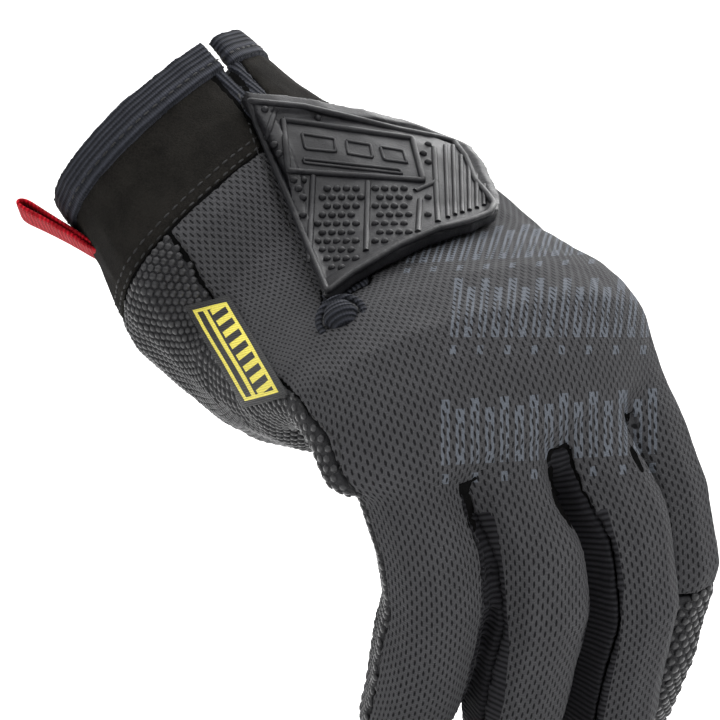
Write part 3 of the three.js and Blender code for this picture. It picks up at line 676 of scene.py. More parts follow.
# Two noises make the cloth uneven: how fine each is, and its height in millimetres
UNEVEN = [(90, 0.35), (260, 0.12)]
MOVE_ROUNDS = 4


def skin_shift(places):
    """How far the smooth skin has moved at each of some points."""
    closest = [[item[1] for item in skin_tree.find_n(place, 3)] for place in places]
    return skin_move[closest].mean(1)


def cloth_panel(name, voxel=PANEL_VOXEL, relax=2):
    """A panel cut out of the smooth skin, with soft unevenness in it."""
    mesh = remeshed([name], voxel)
    places = vertex_places(mesh)
    moves = skin_shift(places)
    mean = averager(mesh)
    for _ in range(MOVE_ROUNDS):
        moves = mean(moves)
    places = places + moves
    for _ in range(relax):
        places += SHRINK * (mean(places) - places)
    put_vertices(mesh, places)
    normals = rows_of(mesh.vertices, "normal")
    uneven = np.array([sum(noise.noise(Vector(place) * grade) * height for grade, height in UNEVEN)
                       for place in places]) * MM
    _, outward, _ = limb_map(places, limbs.keys())
    sign = np.where(np.sum(outward * normals, 1) < 0, -1, 1)
    push = uneven * sign
    for centre, way, width, length, depth in FOLDS:
        offset = places - np.array(centre)
        way = unit(np.array(way))
        along = offset @ way
        across = np.linalg.norm(offset - along[:, None] * way, axis=1)
        push += sign * depth * np.exp(-(across / width) ** 2 - (along / length) ** 2)
    put_vertices(mesh, places + normals * push[:, None])
    return mesh


def store(mesh, name, rows):
    """Rows of three numbers kept on the vertices under a name."""
    layer = mesh.attributes.new(name, "FLOAT_VECTOR", "POINT")
    layer.data.foreach_set("vector", np.ascontiguousarray(rows, float).ravel())


def relaxed(first, second, goal, values, rounds=600):
    """Values whose steps along the edges come closest to a goal, by conjugate gradients."""
    count = len(goal)
    degree = np.maximum(np.bincount(first, minlength=count)
                        + np.bincount(second, minlength=count), 1)

    def spread(field):
        return (degree * field - np.bincount(first, field[second], count)
                - np.bincount(second, field[first], count))
    rest = goal - spread(values)
    search = rest / degree
    power = rest @ search
    for _ in range(rounds):
        moved = spread(search)
        share = power / max(search @ moved, 1e-30)
        values = values + share * search
        rest = rest - share * moved
        eased = rest / degree
        fresh = rest @ eased
        search = eased + fresh / max(power, 1e-30) * search
        power = fresh
    return values


NORMAL_ROUNDS = 8
THREAD_ROUNDS = 130
WRAP_JUMP = 0.015


def laid_out(mesh, names, cut=()):
    """The cloth's lengths along and across its threads, laid flat, and its threads' ways."""
    places = vertex_places(mesh)
    weave, outward, along = limb_map(places, names)
    normals = rows_of(mesh.vertices, "normal")
    normals = normals * np.where(np.sum(outward * normals, 1) < 0, -1, 1)[:, None]
    mean = averager(mesh)
    for _ in range(NORMAL_ROUNDS):
        normals = mean(normals)
    for _ in range(THREAD_ROUNDS):
        along = mean(along)
    normals = unit(normals + 1e-9)
    along = unit(along - normals * np.sum(along * normals, 1)[:, None])
    first, second = edge_ends(mesh)
    wraps = np.abs(weave[first, 1] - weave[second, 1]) > WRAP_JUMP
    jump = wraps & np.isin(weave[first, 2], cut)
    first, second = first[~jump], second[~jump]
    flat = []
    for column, way in enumerate((along, np.cross(normals, along))):
        step = np.sum((places[second] - places[first]) * (way[first] + way[second]) / 2, 1)
        goal = np.bincount(second, step, len(places)) - np.bincount(first, step, len(places))
        flat.append(relaxed(first, second, goal, weave[:, column]))
    return np.stack([*flat, weave[:, 2]], 1), normals, along


INSIDE_FACING = -0.35


def line_inside(mesh, names, slot):
    """The faces that look at the hand take the lining's slot."""
    _, outward, _ = limb_map(rows_of(mesh.polygons, "center"), names)
    inside = np.sum(unit(outward) * rows_of(mesh.polygons, "normal"), 1) < INSIDE_FACING
    mesh.polygons.foreach_set("material_index", np.where(inside, slot, 0))
    return int(inside.sum())


def finish_piece(piece, node=None):
    """The piece moves with the glove and, if it stands for a solid, hides that solid."""
    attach(piece, "root")
    if node:
        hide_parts(node)


PANELS = [
    ("back_panel", knit, "knit", ["hand", "little", "ring", "middle", "index"]),
    ("palm_panel", grip_base, "grip", ["hand", "little", "ring", "middle", "index", "thumb"]),
    ("fourchette_little_ring", side_knit, "side_knit", ["little", "ring"]),
    ("fourchette_ring_middle", side_knit, "side_knit", ["ring", "middle"]),
    ("fourchette_middle_index", side_knit, "side_knit", ["middle", "index"]),
    ("index_tip_guard", grip_base, "grip", ["index"]),
    ("thumb_front", grip_base, "grip", ["thumb"]),
    ("thumb_back", knit, "knit", ["thumb"]),
    ("cuff_band", suede, "suede", ["hand"]),
    ("cuff_binding", tape, "tape", ["hand"]),
    ("slit_binding", tape, "tape", ["hand"]),
]
# The seams beside which the knit turns to darker side knit with ribs, whose dark colour is partly
# painted shade of the gaps between the fingers, as pixels of the photo, by the finger's order
KNIT_SEAMS = {
    2: [(462, 466), (478, 480), (490, 500), (497, 525), (505, 576), (510, 646), (505, 700),
        (500, 720)],
    3: [(572, 434), (596, 470), (608, 510), (619, 549), (625, 585), (619, 650), (608, 700),
        (604, 720)],
}
PRINT_ROWS = [
    {"start": (400, 272), "end": (598, 262), "rise": (14, -42), "bars": 15},
    {"start": (446, 352), "end": (650, 352), "rise": (6, -74), "bars": 15},
    {"start": (438, 482), "end": (660, 470), "rise": (0, -82), "bars": 15},
]
panels = {}
layouts = {}
ARM_WAY = np.array([0.722, -0.2, -0.662])
BINDING_HEM = 4.2
BINDING_OVERLAP = 1.3
HEM_RAMP = 1.5
BACK_FACING = 0.35


def seen_at(places):
    """Where points show in the 720 pixel picture."""
    offset = places - np.array(camera.location)
    return np.stack([IMAGE_MIDDLE + FOCAL_PIXELS * offset[:, 0] / offset[:, 1],
                     IMAGE_MIDDLE - FOCAL_PIXELS * offset[:, 2] / offset[:, 1]], 1)


for name, finish, slot, names in PANELS:
    mesh = cloth_panel(name, LARGE_VOXEL if name == "palm_panel" else PANEL_VOXEL)
    cut = [names.index("thumb")] if name == "palm_panel" else range(6) if len(names) == 1 else []
    weave, outward, ways = laid_out(mesh, names, cut)
    layouts[name] = (weave, outward, ways)
    if name == "cuff_binding":
        places = vertex_places(mesh)
        weave[:, 0] = places @ ARM_WAY
        hem = np.clip((weave[:, 0] / MM - BINDING_HEM) / HEM_RAMP, 0, 1)
        put_vertices(mesh, places + hem[:, None] * ARM_WAY * BINDING_OVERLAP * MM)
    if name == "slit_binding":
        weave = weave[:, [1, 0, 2]]
    store(mesh, "weave", weave)
    if finish is knit:
        pixels = seen_at(vertex_places(mesh))
        facing = (outward[:, 1] < BACK_FACING) & (name == "back_panel")
        side = np.full(len(pixels), -9.0)
        for order, seam_line in KNIT_SEAMS.items():
            across, down = np.array(seam_line, float).T
            beside = np.interp(pixels[:, 1], down, across) - pixels[:, 0]
            ribbed = (weave[:, 2] == order) & facing & (pixels[:, 1] > down[0])
            side = np.where(ribbed, beside, side)
        store(mesh, "seam_side", np.stack([side, side, side], 1) * (name == "back_panel"))
        for number, line in enumerate(PRINT_ROWS):
            start, end = np.array(line["start"], float), np.array(line["end"], float)
            base = np.stack([end - start, np.array(line["rise"], float)], 1)
            solved = (pixels - start) @ np.linalg.inv(base).T
            edge = np.where(facing, np.abs(solved[:, 0] - 0.5) * 2, 9)
            rows = np.stack([solved[:, 0] * line["bars"], solved[:, 1], edge], 1)
            store(mesh, f"print_{number}", rows)
    piece = make_object(name + "_cloth", mesh, finish, lining)
    inner = line_inside(mesh, names, 1)
    finish_piece(piece, name)
    panels[name] = piece
    print(name, "faces:", len(mesh.polygons), "of them inside:", inner)


def surface_of(*names):
    """A tree of the faces of some panels, for finding points on them."""
    places, faces = [], []
    for name in names:
        mesh = panels[name].data
        start = len(places)
        places += [tuple(place) for place in vertex_places(mesh)]
        faces += [tuple(start + corner for corner in face.vertices) for face in mesh.polygons]
    return BVHTree.FromPolygons(places, faces)


glove_surface = surface_of(*CLOTH)

# %% [markdown]
# Small things that repeat, such as grip pads, rubber dots and stitches, are one template each, set
# down at many places. A geometry node tree does that, and its result becomes a plain mesh.

# %% Setting down copies of a template
scatter_tree = bpy.data.node_groups.new("set down copies", "GeometryNodeTree")
scatter_tree.interface.new_socket("Geometry", in_out="INPUT", socket_type="NodeSocketGeometry")
scatter_tree.interface.new_socket("Template", in_out="INPUT", socket_type="NodeSocketObject")
scatter_tree.interface.new_socket("Geometry", in_out="OUTPUT", socket_type="NodeSocketGeometry")
tree_in = scatter_tree.nodes.new("NodeGroupInput")
tree_out = scatter_tree.nodes.new("NodeGroupOutput")
spread = scatter_tree.nodes.new("GeometryNodeInstanceOnPoints")
info = scatter_tree.nodes.new("GeometryNodeObjectInfo")
real = scatter_tree.nodes.new("GeometryNodeRealizeInstances")
scatter_tree.links.new(tree_in.outputs["Geometry"], spread.inputs["Points"])
scatter_tree.links.new(tree_in.outputs["Template"], info.inputs["Object"])
scatter_tree.links.new(info.outputs["Geometry"], spread.inputs["Instance"])
for label, socket in (("turn", "Rotation"), ("size", "Scale")):
    named = scatter_tree.nodes.new("GeometryNodeInputNamedAttribute")
    named.data_type = "FLOAT_VECTOR"
    named.inputs["Name"].default_value = label
    scatter_tree.links.new(named.outputs["Attribute"], spread.inputs[socket])
scatter_tree.links.new(spread.outputs["Instances"], real.inputs["Geometry"])
scatter_tree.links.new(real.outputs["Geometry"], tree_out.inputs["Geometry"])
print("nodes that set down copies:", len(scatter_tree.nodes))


def set_down(name, template, spots, material):
    """Copies of a template mesh at spots of place, way out, way along and size."""
    pattern = make_object("template", template)
    mesh = bpy.data.meshes.new(name)
    mesh.from_pydata([tuple(spot[0]) for spot in spots], [], [])
    turns, sizes = [], []
    for _, out, along, size in spots:
        out = Vector(out).normalized()
        along = Vector(along)
        along = (along - out * along.dot(out)).normalized()
        matrix = Matrix((along, out.cross(along), out)).transposed()
        turns.append(tuple(matrix.to_euler()))
        sizes.append(size if isinstance(size, tuple) else (size, size, size))
    store(mesh, "turn", np.array(turns))
    store(mesh, "size", np.array(sizes))
    carrier = make_object("carrier", mesh)
    modifier = carrier.modifiers.new("copies", "NODES")
    modifier.node_group = scatter_tree
    modifier["Socket_1"] = pattern
    result = evaluated_mesh(carrier)
    result.name = name
    result.materials.clear()
    for label in ("turn", "size"):
        if label in result.attributes:
            result.attributes.remove(result.attributes[label])
    bpy.data.objects.remove(carrier)
    bpy.data.objects.remove(pattern)
    piece = make_object(name, result, material)
    finish_piece(piece)
    print(name, "copies:", len(spots), "faces:", len(result.polygons))
    return piece


def pad_template(sides, width, height):
    """A low pad with a domed top, its corners along the cloth. Sizes are in millimetres."""
    bm = bmesh.new()
    bmesh.ops.create_circle(bm, cap_ends=True, segments=sides, radius=width / 2 * MM)
    bmesh.ops.rotate(bm, verts=bm.verts, cent=(0, 0, 0),
                     matrix=Matrix.Rotation(math.pi / 2, 3, "Z"))
    bmesh.ops.translate(bm, verts=bm.verts, vec=(0, 0, -0.3 * MM))
    made = bmesh.ops.extrude_face_region(bm, geom=bm.faces[:])
    top = [item for item in made["geom"] if isinstance(item, bmesh.types.BMVert)]
    face = [item for item in made["geom"] if isinstance(item, bmesh.types.BMFace)]
    bmesh.ops.translate(bm, verts=top, vec=(0, 0, (0.3 + height * 0.55) * MM))
    bmesh.ops.scale(bm, verts=top, vec=(0.88, 0.88, 1))
    poke = bmesh.ops.poke(bm, faces=face)
    bmesh.ops.translate(bm, verts=poke["verts"], vec=(0, 0, height * 0.45 * MM))
    bmesh.ops.recalc_face_normals(bm, faces=bm.faces)
    return mesh_from(bm, "pad")


# %% [markdown]
# The grip material is leather with small raised hexagons. They are moulded on flat cloth, so the
# panel's laid-out lengths give their places: rows half a pitch aside of each other, a honeycomb.

# %% Grip pads on the palm, the index tip and the thumb


def ring_hits(surface, limb, number, first, last, step, reach):
    """Points on the outer face of a wall, on a ring round a limb."""
    hits = []
    centre = Vector(limb["centres"][number])
    for angle in np.arange(first, last, step):
        turn = math.radians(angle)
        way = Vector(limb["across"][number] * math.sin(turn) * limb["half"][0]
                     + limb["back"][number] * math.cos(turn) * limb["half"][1]).normalized()
        inner = surface.ray_cast(centre, way, reach)
        if inner[0] is None:
            hits.append(None)
            continue
        outer = surface.ray_cast(inner[0] + way * 0.2 * MM, way, 6 * MM)
        seen = outer[0] is not None and outer[1].dot(way) > 0
        hits.append((outer[0], outer[1]) if seen else None)
    return hits


def pads_on(name, pitch, limb_orders=None):
    """Spots for pads in a honeycomb on the outer face of a laid-out panel."""
    mesh = panels[name].data
    weave, out, ways = layouts[name]
    places = vertex_places(mesh)
    mesh.calc_loop_triangles()
    corners = np.empty(len(mesh.loop_triangles) * 3, int)
    mesh.loop_triangles.foreach_get("vertices", corners)
    corners = corners.reshape(-1, 3)
    a, b, c = (places[corners[:, part]] for part in range(3))
    facing = np.cross(b - a, c - a)
    facing /= np.maximum(np.linalg.norm(facing, axis=1, keepdims=True), 1e-15)
    outer = np.sum(facing * out[corners].mean(1), 1) > 0.55
    if limb_orders is not None:
        outer &= np.isin(weave[corners[:, 0], 2], limb_orders)
    corners = corners[outer]
    flat = weave[corners][:, :, :2] / MM
    first, side, other = flat[:, 0], flat[:, 1] - flat[:, 0], flat[:, 2] - flat[:, 0]
    area = side[:, 0] * other[:, 1] - side[:, 1] * other[:, 0]
    even = np.abs(area) > 0.04
    spots = []
    for shift in (0.0, 0.5):
        grid = np.array([pitch * math.sqrt(3), pitch])
        spot = (np.round(flat.mean(1) / grid - shift) + shift) * grid
        off = spot - first
        with np.errstate(divide="ignore", invalid="ignore"):
            p = (off[:, 0] * other[:, 1] - off[:, 1] * other[:, 0]) / area
            q = (side[:, 0] * off[:, 1] - side[:, 1] * off[:, 0]) / area
        for number in np.flatnonzero(even & (p >= 0) & (q >= 0) & (p + q <= 1)):
            shares = np.array([1 - p[number] - q[number], p[number], q[number]])
            here = corners[number]
            spots.append((Vector(shares @ places[here]), Vector(shares @ out[here]),
                          Vector(shares @ ways[here]), 1.0))
    crowd = point_tree([spot[0] for spot in spots])
    kept, dropped = [], set()
    for number, spot in enumerate(spots):
        if number not in dropped:
            kept.append(spot)
            dropped.update(item[1] for item in crowd.find_range(spot[0], pitch * 0.8 * MM))
    return kept


PAD_PITCH = 1.75
TIP_PAD_PITCH = 2.0
hex_pad = pad_template(6, 1.7, 0.42)
for name, panel, limb_orders in (("palm_grip_pads", "palm_panel", [0, 5]),
                                 ("finger_grip_pads", "palm_panel", [1, 2, 3, 4]),
                                 ("thumb_grip_pads", "thumb_front", None)):
    set_down(name, hex_pad, pads_on(panel, PAD_PITCH, limb_orders), grip_pad)
set_down("tip_guard_pads", pad_template(8, 1.95, 0.5), pads_on("index_tip_guard", TIP_PAD_PITCH),
         grip_pad)

# %% [markdown]
# Where panels meet, the edges of the cloth are turned in and sewn together underneath. A thin core
# inside the walls stands for those turned-in edges, so no light shows through a seam; it is
# coloured near black as painted shade where a seam gapes. It leaves the fingers out, because there
# it would bridge the gaps between them.

# %% Turned-in edges and painted shade in the seams
CORE_INSET = 0.55 * MM
CORE_VOXEL = 1.3 * MM
core = remeshed(CLOTH, CORE_VOXEL)
core_places = vertex_places(core)
core_places = core_places + skin_shift(core_places)
put_vertices(core, core_places)
core_normals = rows_of(core.vertices, "normal")
put_vertices(core, core_places - core_normals * CORE_INSET)
core_weave, _, _ = limb_map(core_places, list(LIMBS))
on_finger = (core_weave[:, 2] > 0) & (core_weave[:, 2] < 5)
bm = bmesh.new()
bm.from_mesh(core)
bm.verts.ensure_lookup_table()
dropped = [bm.verts[number] for number in np.flatnonzero(on_finger)]
bmesh.ops.delete(bm, geom=dropped, context="VERTS")
core = mesh_from(bm, "turned_edges")
finish_piece(make_object("turned_edges", core, seam_core_shade))
print("core faces:", len(core.polygons))

# %% [markdown]
# Details whose place shows in the picture are set by a sight line: a ray from the camera finds the
# point of the surface that shows there. They sit on what carries them from any side.

# %% Sight lines


def sighted(surface, pixel):
    """The point and way out of a surface that show at a pixel."""
    way = Vector(((pixel[0] - IMAGE_MIDDLE) / FOCAL_PIXELS, 1,
                  (IMAGE_MIDDLE - pixel[1]) / FOCAL_PIXELS)).normalized()
    place, out, _, _ = surface.ray_cast(camera.location, way, 2)
    return (place, out) if place is not None else None


def dense_pixels(pixels, step):
    """Pixels an even step apart on a broken line."""
    pixels = np.array(pixels, float)
    lengths = np.r_[0, np.cumsum(np.linalg.norm(np.diff(pixels, axis=0), axis=1))]
    steps = np.arange(0, lengths[-1] + step / 2, step)
    return [(np.interp(at, lengths, pixels[:, 0]), np.interp(at, lengths, pixels[:, 1]))
            for at in steps]


def bead(name, surface, pixels, radius, lift, material):
    """A rounded line of material that follows a surface."""
    spots = [sighted(surface, pixel) for pixel in dense_pixels(pixels, 3)]
    spots = [spot for spot in spots if spot]
    data = bpy.data.curves.new(name, "CURVE")
    data.dimensions = "3D"
    data.bevel_depth = radius * MM
    data.bevel_resolution = 2
    data.use_fill_caps = True
    spline = data.splines.new("POLY")
    spline.points.add(len(spots) - 1)
    for point, (place, out) in zip(spline.points, spots):
        point.co = (*(place + out * lift * MM), 1)
    holder = bpy.data.objects.new(name, data)
    bpy.context.scene.collection.objects.link(holder)
    mesh = evaluated_mesh(holder)
    bpy.data.objects.remove(holder)
    mesh.materials.clear()
    for face in mesh.polygons:
        face.use_smooth = True
    finish_piece(make_object(name, mesh, material))


print("sight line through", (400, 400), "meets the glove at",
      tuple(round(value / MM, 1) for value in sighted(glove_surface, (400, 400))[0]))


# %% [markdown]
# The closure strap is one moulding of rubber: a plate with a raised rim, ribs that fan out from
# its sewn edge, fields of round dots between them, a sunk plaque and a grooved pull tab.

# %% Closure strap
strap_mesh = cloth_panel("closure_strap", 0.5 * MM, 3)
store(strap_mesh, "weave", vertex_places(strap_mesh))
strap = make_object("closure_strap_moulding", strap_mesh, rubber)
finish_piece(strap, "closure_strap")
panels["closure_strap"] = strap
strap_surface = surface_of("closure_strap")
STRAP_OUTLINE = [(243, 94), (300, 100), (350, 112), (400, 125), (440, 133), (458, 138), (470, 155),
                 (480, 180), (493, 195), (500, 205), (495, 215), (470, 225), (440, 232), (400, 250),
                 (350, 280), (325, 300), (285, 200), (262, 150), (243, 94)]
STRAP_RIBS = [
    [(276, 108), (262, 152)],
    [(313, 176), (309, 264)],
    [(368, 182), (366, 252)],
    [(434, 148), (438, 222)],
    [(415, 191), (438, 181)],
    [(420, 200), (418, 232)],
]
PLAQUE = [(283, 120), (412, 139), (423, 181), (288, 171), (283, 120)]
TAB = [(443, 137), (459, 143), (470, 160), (479, 185), (492, 201), (446, 221), (443, 137)]
PLAQUE_BARS = [[(302, 134), (334, 139), (336, 152), (305, 149)],
               [(346, 141), (370, 145), (373, 158), (348, 154)],
               [(380, 147), (403, 151), (407, 163), (384, 160)],
               [(303, 159), (400, 170), (402, 174), (304, 163)]]


def within(shape, x, y):
    """Whether a pixel lies inside a closed outline."""
    inside = False
    for (ax, ay), (bx, by) in zip(shape, shape[1:] + shape[:1]):
        if (ay > y) != (by > y) and x < ax + (y - ay) / (by - ay) * (bx - ax):
            inside = not inside
    return inside


def gap_to(shape, x, y):
    """A pixel's distance from a broken line."""
    best = 1e9
    for (ax, ay), (bx, by) in zip(shape, shape[1:]):
        length = max((bx - ax) ** 2 + (by - ay) ** 2, 1e-9)
        part = min(max(((x - ax) * (bx - ax) + (y - ay) * (by - ay)) / length, 0), 1)
        best = min(best, math.hypot(x - ax - part * (bx - ax), y - ay - part * (by - ay)))
    return best


RIM_MIDDLE = (371, 190)
RIM_SHARES = (0.955, 0.925)
RIDGE_START = 448
RIDGE_PITCH = 7.2
DOT_START = (236, 92)
DOT_PITCH = (9.6, 8.8)
DOT_CLEARANCE = 6.5
inner_rim = [tuple(middle + (value - middle) * share
                   for value, middle, share in zip(pixel, RIM_MIDDLE, RIM_SHARES))
             for pixel in STRAP_OUTLINE]
beads = [("rim_bead", inner_rim, 0.75, 0.0)]
beads += [(f"rib_{number}", rib, 0.7, -0.15) for number, rib in enumerate(STRAP_RIBS)]
beads += [("plaque_frame", PLAQUE, 0.7, 0.1)]
beads += [(f"plaque_bar_{number}", bar + bar[:1], 0.35, 0.05)
          for number, bar in enumerate(PLAQUE_BARS)]
for number in range(6):
    x = RIDGE_START + number * RIDGE_PITCH
    top = 146 + max(0, x - 455) * 1.35
    foot = 219 - (x - RIDGE_START) * 0.36
    beads.append((f"tab_ridge_{number}", [(x - 3 + number * 0.6, top), (x, foot)], 0.5, 0.05))
for name, pixels, radius, lift in beads:
    bead("strap_" + name, strap_surface, pixels, radius, lift, rubber)
clear_of = [inner_rim, PLAQUE, TAB] + STRAP_RIBS
dot_spots = []
for row in range(24):
    for column in range(28):
        x = DOT_START[0] + column * DOT_PITCH[0] + (DOT_PITCH[0] / 2 if row % 2 else 0)
        y = DOT_START[1] + row * DOT_PITCH[1]
        if not within(STRAP_OUTLINE, x, y) or within(PLAQUE, x, y) or within(TAB, x, y):
            continue
        if min(gap_to(shape, x, y) for shape in clear_of) < DOT_CLEARANCE:
            continue
        spot = sighted(strap_surface, (x, y))
        if spot:
            dot_spots.append((spot[0], spot[1], Vector((1, 0, 0)), 1.0))
bm = bmesh.new()
bmesh.ops.create_uvsphere(bm, u_segments=12, v_segments=8, radius=0.82 * MM)
bmesh.ops.scale(bm, verts=bm.verts, vec=(1, 1, 0.95))
set_down("strap_dots", mesh_from(bm, "dot"), dot_spots, rubber)

# %% [markdown]
# A small woven label is sewn over the seam at the little finger's side: a black cloth patch with
# a yellow woven frame and plain bars inside it.

# %% Side label
label_finish, tree, shader, where = start_finish("woven label", 0.75)
flat = tree.nodes.new("ShaderNodeUVMap")
flat.uv_map = "UVMap"
parts = parts_of(tree, flat.outputs["UV"])
u, v = parts["X"], parts["Y"]
in_frame = calc(tree, "MULTIPLY", near(tree, u, 0.5, 0.44), near(tree, v, 0.5, 0.38))
in_field = calc(tree, "MULTIPLY", near(tree, u, 0.5, 0.41), near(tree, v, 0.5, 0.31))
slant = calc(tree, "ADD", calc(tree, "MULTIPLY", u, 9.0), calc(tree, "MULTIPLY", v, 1.4))
bars = calc(tree, "GREATER_THAN", calc(tree, "FRACT", slant), 0.52)
upper = calc(tree, "GREATER_THAN", v, 0.46)
low_line = near(tree, v, 0.36, 0.045)
motif = calc(tree, "ADD", calc(tree, "MULTIPLY", bars, upper), low_line, clamp=True)
ground = calc(tree, "MULTIPLY", in_field, calc(tree, "SUBTRACT", 1.0, motif))
yellow = calc(tree, "SUBTRACT", in_frame, ground, clamp=True)
woven = use(tree, ribs, Along=calc(tree, "MULTIPLY", u, 0.026), Pitch=0.0005)["Height"]
tone = calc(tree, "MULTIPLY_ADD", woven, 0.35, 0.65)
gold = blended(tree, tone, (0.35, 0.3, 0.03), (0.78, 0.68, 0.1))
tree.links.new(blended(tree, yellow, (0.012, 0.012, 0.013), gold), shader.inputs["Base Color"])
bumped(tree, shader, calc(tree, "ADD", woven, yellow), 0.0002)
LABEL_LIFT = 0.55 * MM


def thicken(piece, thickness, offset):
    """A sheet gets a thickness in millimetres."""
    modifier = piece.modifiers.new("thickness", "SOLIDIFY")
    modifier.thickness = thickness * MM
    modifier.offset = offset


LABEL_CORNERS = [(184, 305), (230, 296), (290, 397), (246, 408)]
bm = bmesh.new()
bm.loops.layers.uv.new("UVMap")
bmesh.ops.create_grid(bm, x_segments=30, y_segments=14, size=0.5, calc_uvs=True)
for vertex in bm.verts:
    across, down = 0.5 - vertex.co.y, vertex.co.x + 0.5
    (ax, ay), (bx, by), (cx, cy), (dx, dy) = LABEL_CORNERS
    left = (ax + (dx - ax) * down, ay + (dy - ay) * down)
    right = (bx + (cx - bx) * down, by + (cy - by) * down)
    pixel = (left[0] + (right[0] - left[0]) * (1 - across),
             left[1] + (right[1] - left[1]) * (1 - across))
    place, out = sighted(skin_surface, pixel)
    vertex.co = place + out * LABEL_LIFT
bmesh.ops.smooth_vert(bm, verts=bm.verts, factor=0.5, use_axis_x=True, use_axis_y=True,
                      use_axis_z=True)
bmesh.ops.recalc_face_normals(bm, faces=bm.faces)
if sum(face.normal.y for face in bm.faces) > 0:
    bmesh.ops.reverse_faces(bm, faces=bm.faces)
label = make_object("side_label_cloth", mesh_from(bm, "side_label"), label_finish)
thicken(label, 0.7, -1)
finish_piece(label, "side_label")
print("label faces:", len(label.data.polygons))

# %% [markdown]
# The pull loop is a short strip of red webbing, folded over and sewn behind the cuff.

# %% Pull loop
loop_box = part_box("pull_loop")
hand_limb = limbs["hand"]
# The hand's centre line starts this far before the cuff's rim, in millimetres
RIM_ALONG = 16.1
CUFF_HALF = (0.029 * 1.05, 0.021 * 1.05)


def on_cuff(distance, angle, lift):
    """A point off the cuff, by its distance from the rim, its angle and its height above it."""
    number = int((distance + RIM_ALONG) / LINE_STEP)
    turn = math.radians(angle)
    way = (hand_limb["across"][number] * -math.sin(turn) * CUFF_HALF[0]
           + hand_limb["back"][number] * math.cos(turn) * CUFF_HALF[1])
    return hand_limb["centres"][number] + way + unit(way) * lift * MM


# The loop's path behind the cuff: distance from the rim and height above the cuff, in millimetres
LOOP_PATH = [(14, 1.6), (10, 2.4), (6, 3.4), (2, 4.6), (-1, 5.6), (-3, 6.3), (-4.2, 6.2),
             (-4.6, 5.4), (-3.6, 4.4), (-1, 3.9), (3, 3.0), (7, 2.0), (11, 1.1), (14.4, 0.7)]
LOOP_ANGLE = 112
bm = bmesh.new()
rows = []
for distance, lift in LOOP_PATH:
    ends = [Vector(on_cuff(distance, LOOP_ANGLE + side, lift)) for side in (-12, 12)]
    rows.append([bm.verts.new(ends[0].lerp(ends[1], part / 4)) for part in range(5)])
for first, second in zip(rows, rows[1:] + rows[:1]):
    for part in range(4):
        bm.faces.new((first[part], first[part + 1], second[part + 1], second[part]))
bmesh.ops.recalc_face_normals(bm, faces=bm.faces)
loop_mesh = mesh_from(bm, "pull_loop")
rows = vertex_places(loop_mesh)
store(loop_mesh, "weave", np.stack([rows @ np.array([0.72, -0.2, -0.66]),
                                    rows @ np.array([0.3, 0.9, 0.1]), rows[:, 0]], 1))
pull_loop = make_object("pull_loop_webbing", loop_mesh, webbing)
thicken(pull_loop, 1.1, 0)
smooth = pull_loop.modifiers.new("smooth", "SUBSURF")
smooth.levels = smooth.render_levels = 2
finish_piece(pull_loop, "pull_loop")
print("loop box in mm:", [[round(value * 1000, 1) for value in corner] for corner in loop_box])

# %% [markdown]
# Where the slit ends, a small padded knob of ribbed cloth covers the end of the tape, in a round
# fold of the tape that runs below it.

# %% Slit end knob
knob_place, knob_out = sighted(glove_surface, (342, 319))
knob_out = (knob_out + Vector((0, -1.1, 0))).normalized()
down = Vector((0.35, -0.5, -0.8))
down = (down - knob_out * down.dot(knob_out)).normalized()
turned = Matrix((down, knob_out.cross(down), knob_out)).transposed()
bm = bmesh.new()
bmesh.ops.create_uvsphere(bm, u_segments=48, v_segments=24, radius=3.3 * MM)
for vertex in bm.verts:
    groove = 1 + 0.05 * math.cos(vertex.co.x / (0.42 * MM))
    vertex.co = Vector((vertex.co.x, vertex.co.y * groove, vertex.co.z * 0.8 * groove))
    vertex.co = turned @ vertex.co + knob_place + knob_out * 1.2 * MM
ring_path = bmesh.ops.create_circle(bm, segments=10, radius=0.75 * MM)
ring = ring_path["verts"]
edges = list({edge for vertex in ring for edge in vertex.link_edges})
bmesh.ops.rotate(bm, verts=ring, cent=(0, 0, 0), matrix=Matrix.Rotation(math.pi / 2, 3, "X"))
bmesh.ops.translate(bm, verts=ring, vec=(4.5 * MM, 0, 0))
bmesh.ops.spin(bm, geom=ring + edges, cent=(0, 0, 0), axis=(0, 0, 1), steps=40, angle=math.tau,
               use_merge=True)
torus = [vertex for vertex in bm.verts if vertex.co.length < 7 * MM]
for vertex in torus:
    vertex.co = turned @ vertex.co + knob_place + knob_out * 0.5 * MM
bmesh.ops.remove_doubles(bm, verts=bm.verts, dist=1e-6)
bmesh.ops.recalc_face_normals(bm, faces=bm.faces)
knob_mesh = mesh_from(bm, "slit_end_knob")
rows = vertex_places(knob_mesh)
across = knob_out.cross(down)
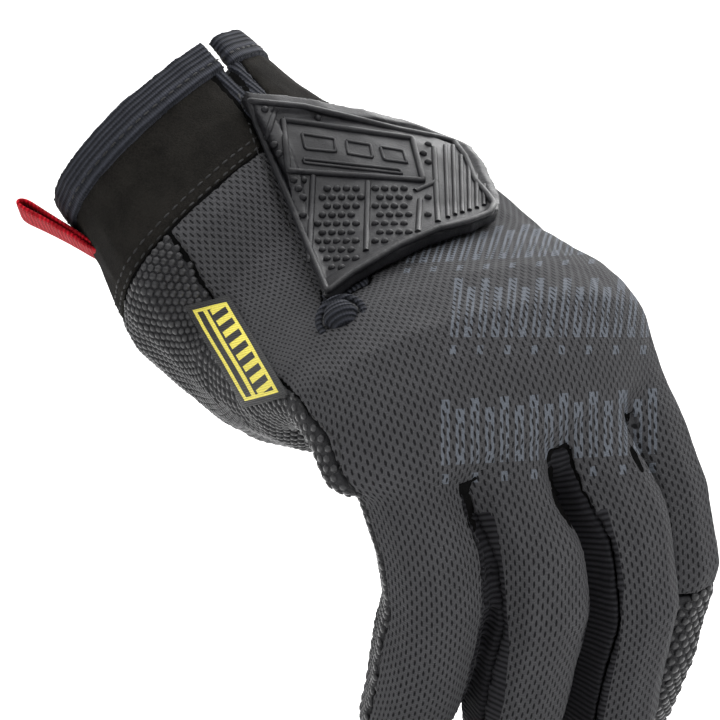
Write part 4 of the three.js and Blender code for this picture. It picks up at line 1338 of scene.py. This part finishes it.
store(knob_mesh, "weave", np.stack([rows @ np.array(down), rows @ np.array(across), rows[:, 0]], 1))
knob = make_object("slit_end_knob", knob_mesh, tape)
finish_piece(knob, "slit_end_tab")
print("knob at", tuple(round(value * 1000, 1) for value in knob_place))

# %% [markdown]
# Stitches are short rounded lengths of thread, half sunk into the cloth, at an even pitch along
# each seam. A seam that shows is a row of them beside the panel's edge.

# %% Stitches
STITCH_PITCH = 2.4
bm = bmesh.new()
bmesh.ops.create_uvsphere(bm, u_segments=8, v_segments=6, radius=0.5 * MM)
bmesh.ops.scale(bm, verts=bm.verts, vec=(1.7, 0.45, 0.4))
stitch_mesh = mesh_from(bm, "stitch")


def stitch_spots(pairs):
    """Spots at an even pitch along points of place and way out."""
    spots, wanted, walked = [], STITCH_PITCH / 2, 0.0
    for (here, out), (there, _) in zip(pairs, pairs[1:]):
        gap = (there - here).length / MM
        if gap > 6:
            continue
        while gap > 0 and walked + gap >= wanted:
            spots.append((here.lerp(there, (wanted - walked) / gap), out, there - here, 1.0))
            wanted += STITCH_PITCH
        walked += gap
    return spots


def seam(pixels, surface):
    """Points along a line of pixels on a surface."""
    found = [sighted(surface, pixel) for pixel in dense_pixels(pixels, 2)]
    return [spot for spot in found if spot]


# Rings of stitches round the cuff, each on a panel and so far along from the rim, in millimetres
STITCH_RINGS = [("cuff_band", 24.2), ("cuff_band", 25.9), ("cuff_binding", 5.6)]
RING_ALONG = 15.2
stitches = []
for name, distance in STITCH_RINGS:
    number = int((distance + RING_ALONG) / LINE_STEP)
    hits = ring_hits(surface_of(name), hand_limb, number, -180, 184, 2, 60 * MM)
    stitches += stitch_spots([hit for hit in hits if hit])
SEAMS = [
    [(176, 234), (228, 318), (253, 358), (293, 397), (338, 441), (342, 472), (354, 491), (376, 541),
     (382, 600), (377, 640), (370, 684)],
    [(238, 92), (257, 150), (280, 202), (318, 298)],
]
for pixels in SEAMS:
    stitches += stitch_spots(seam(pixels, glove_surface))
set_down("seam_stitches", stitch_mesh, stitches, thread)
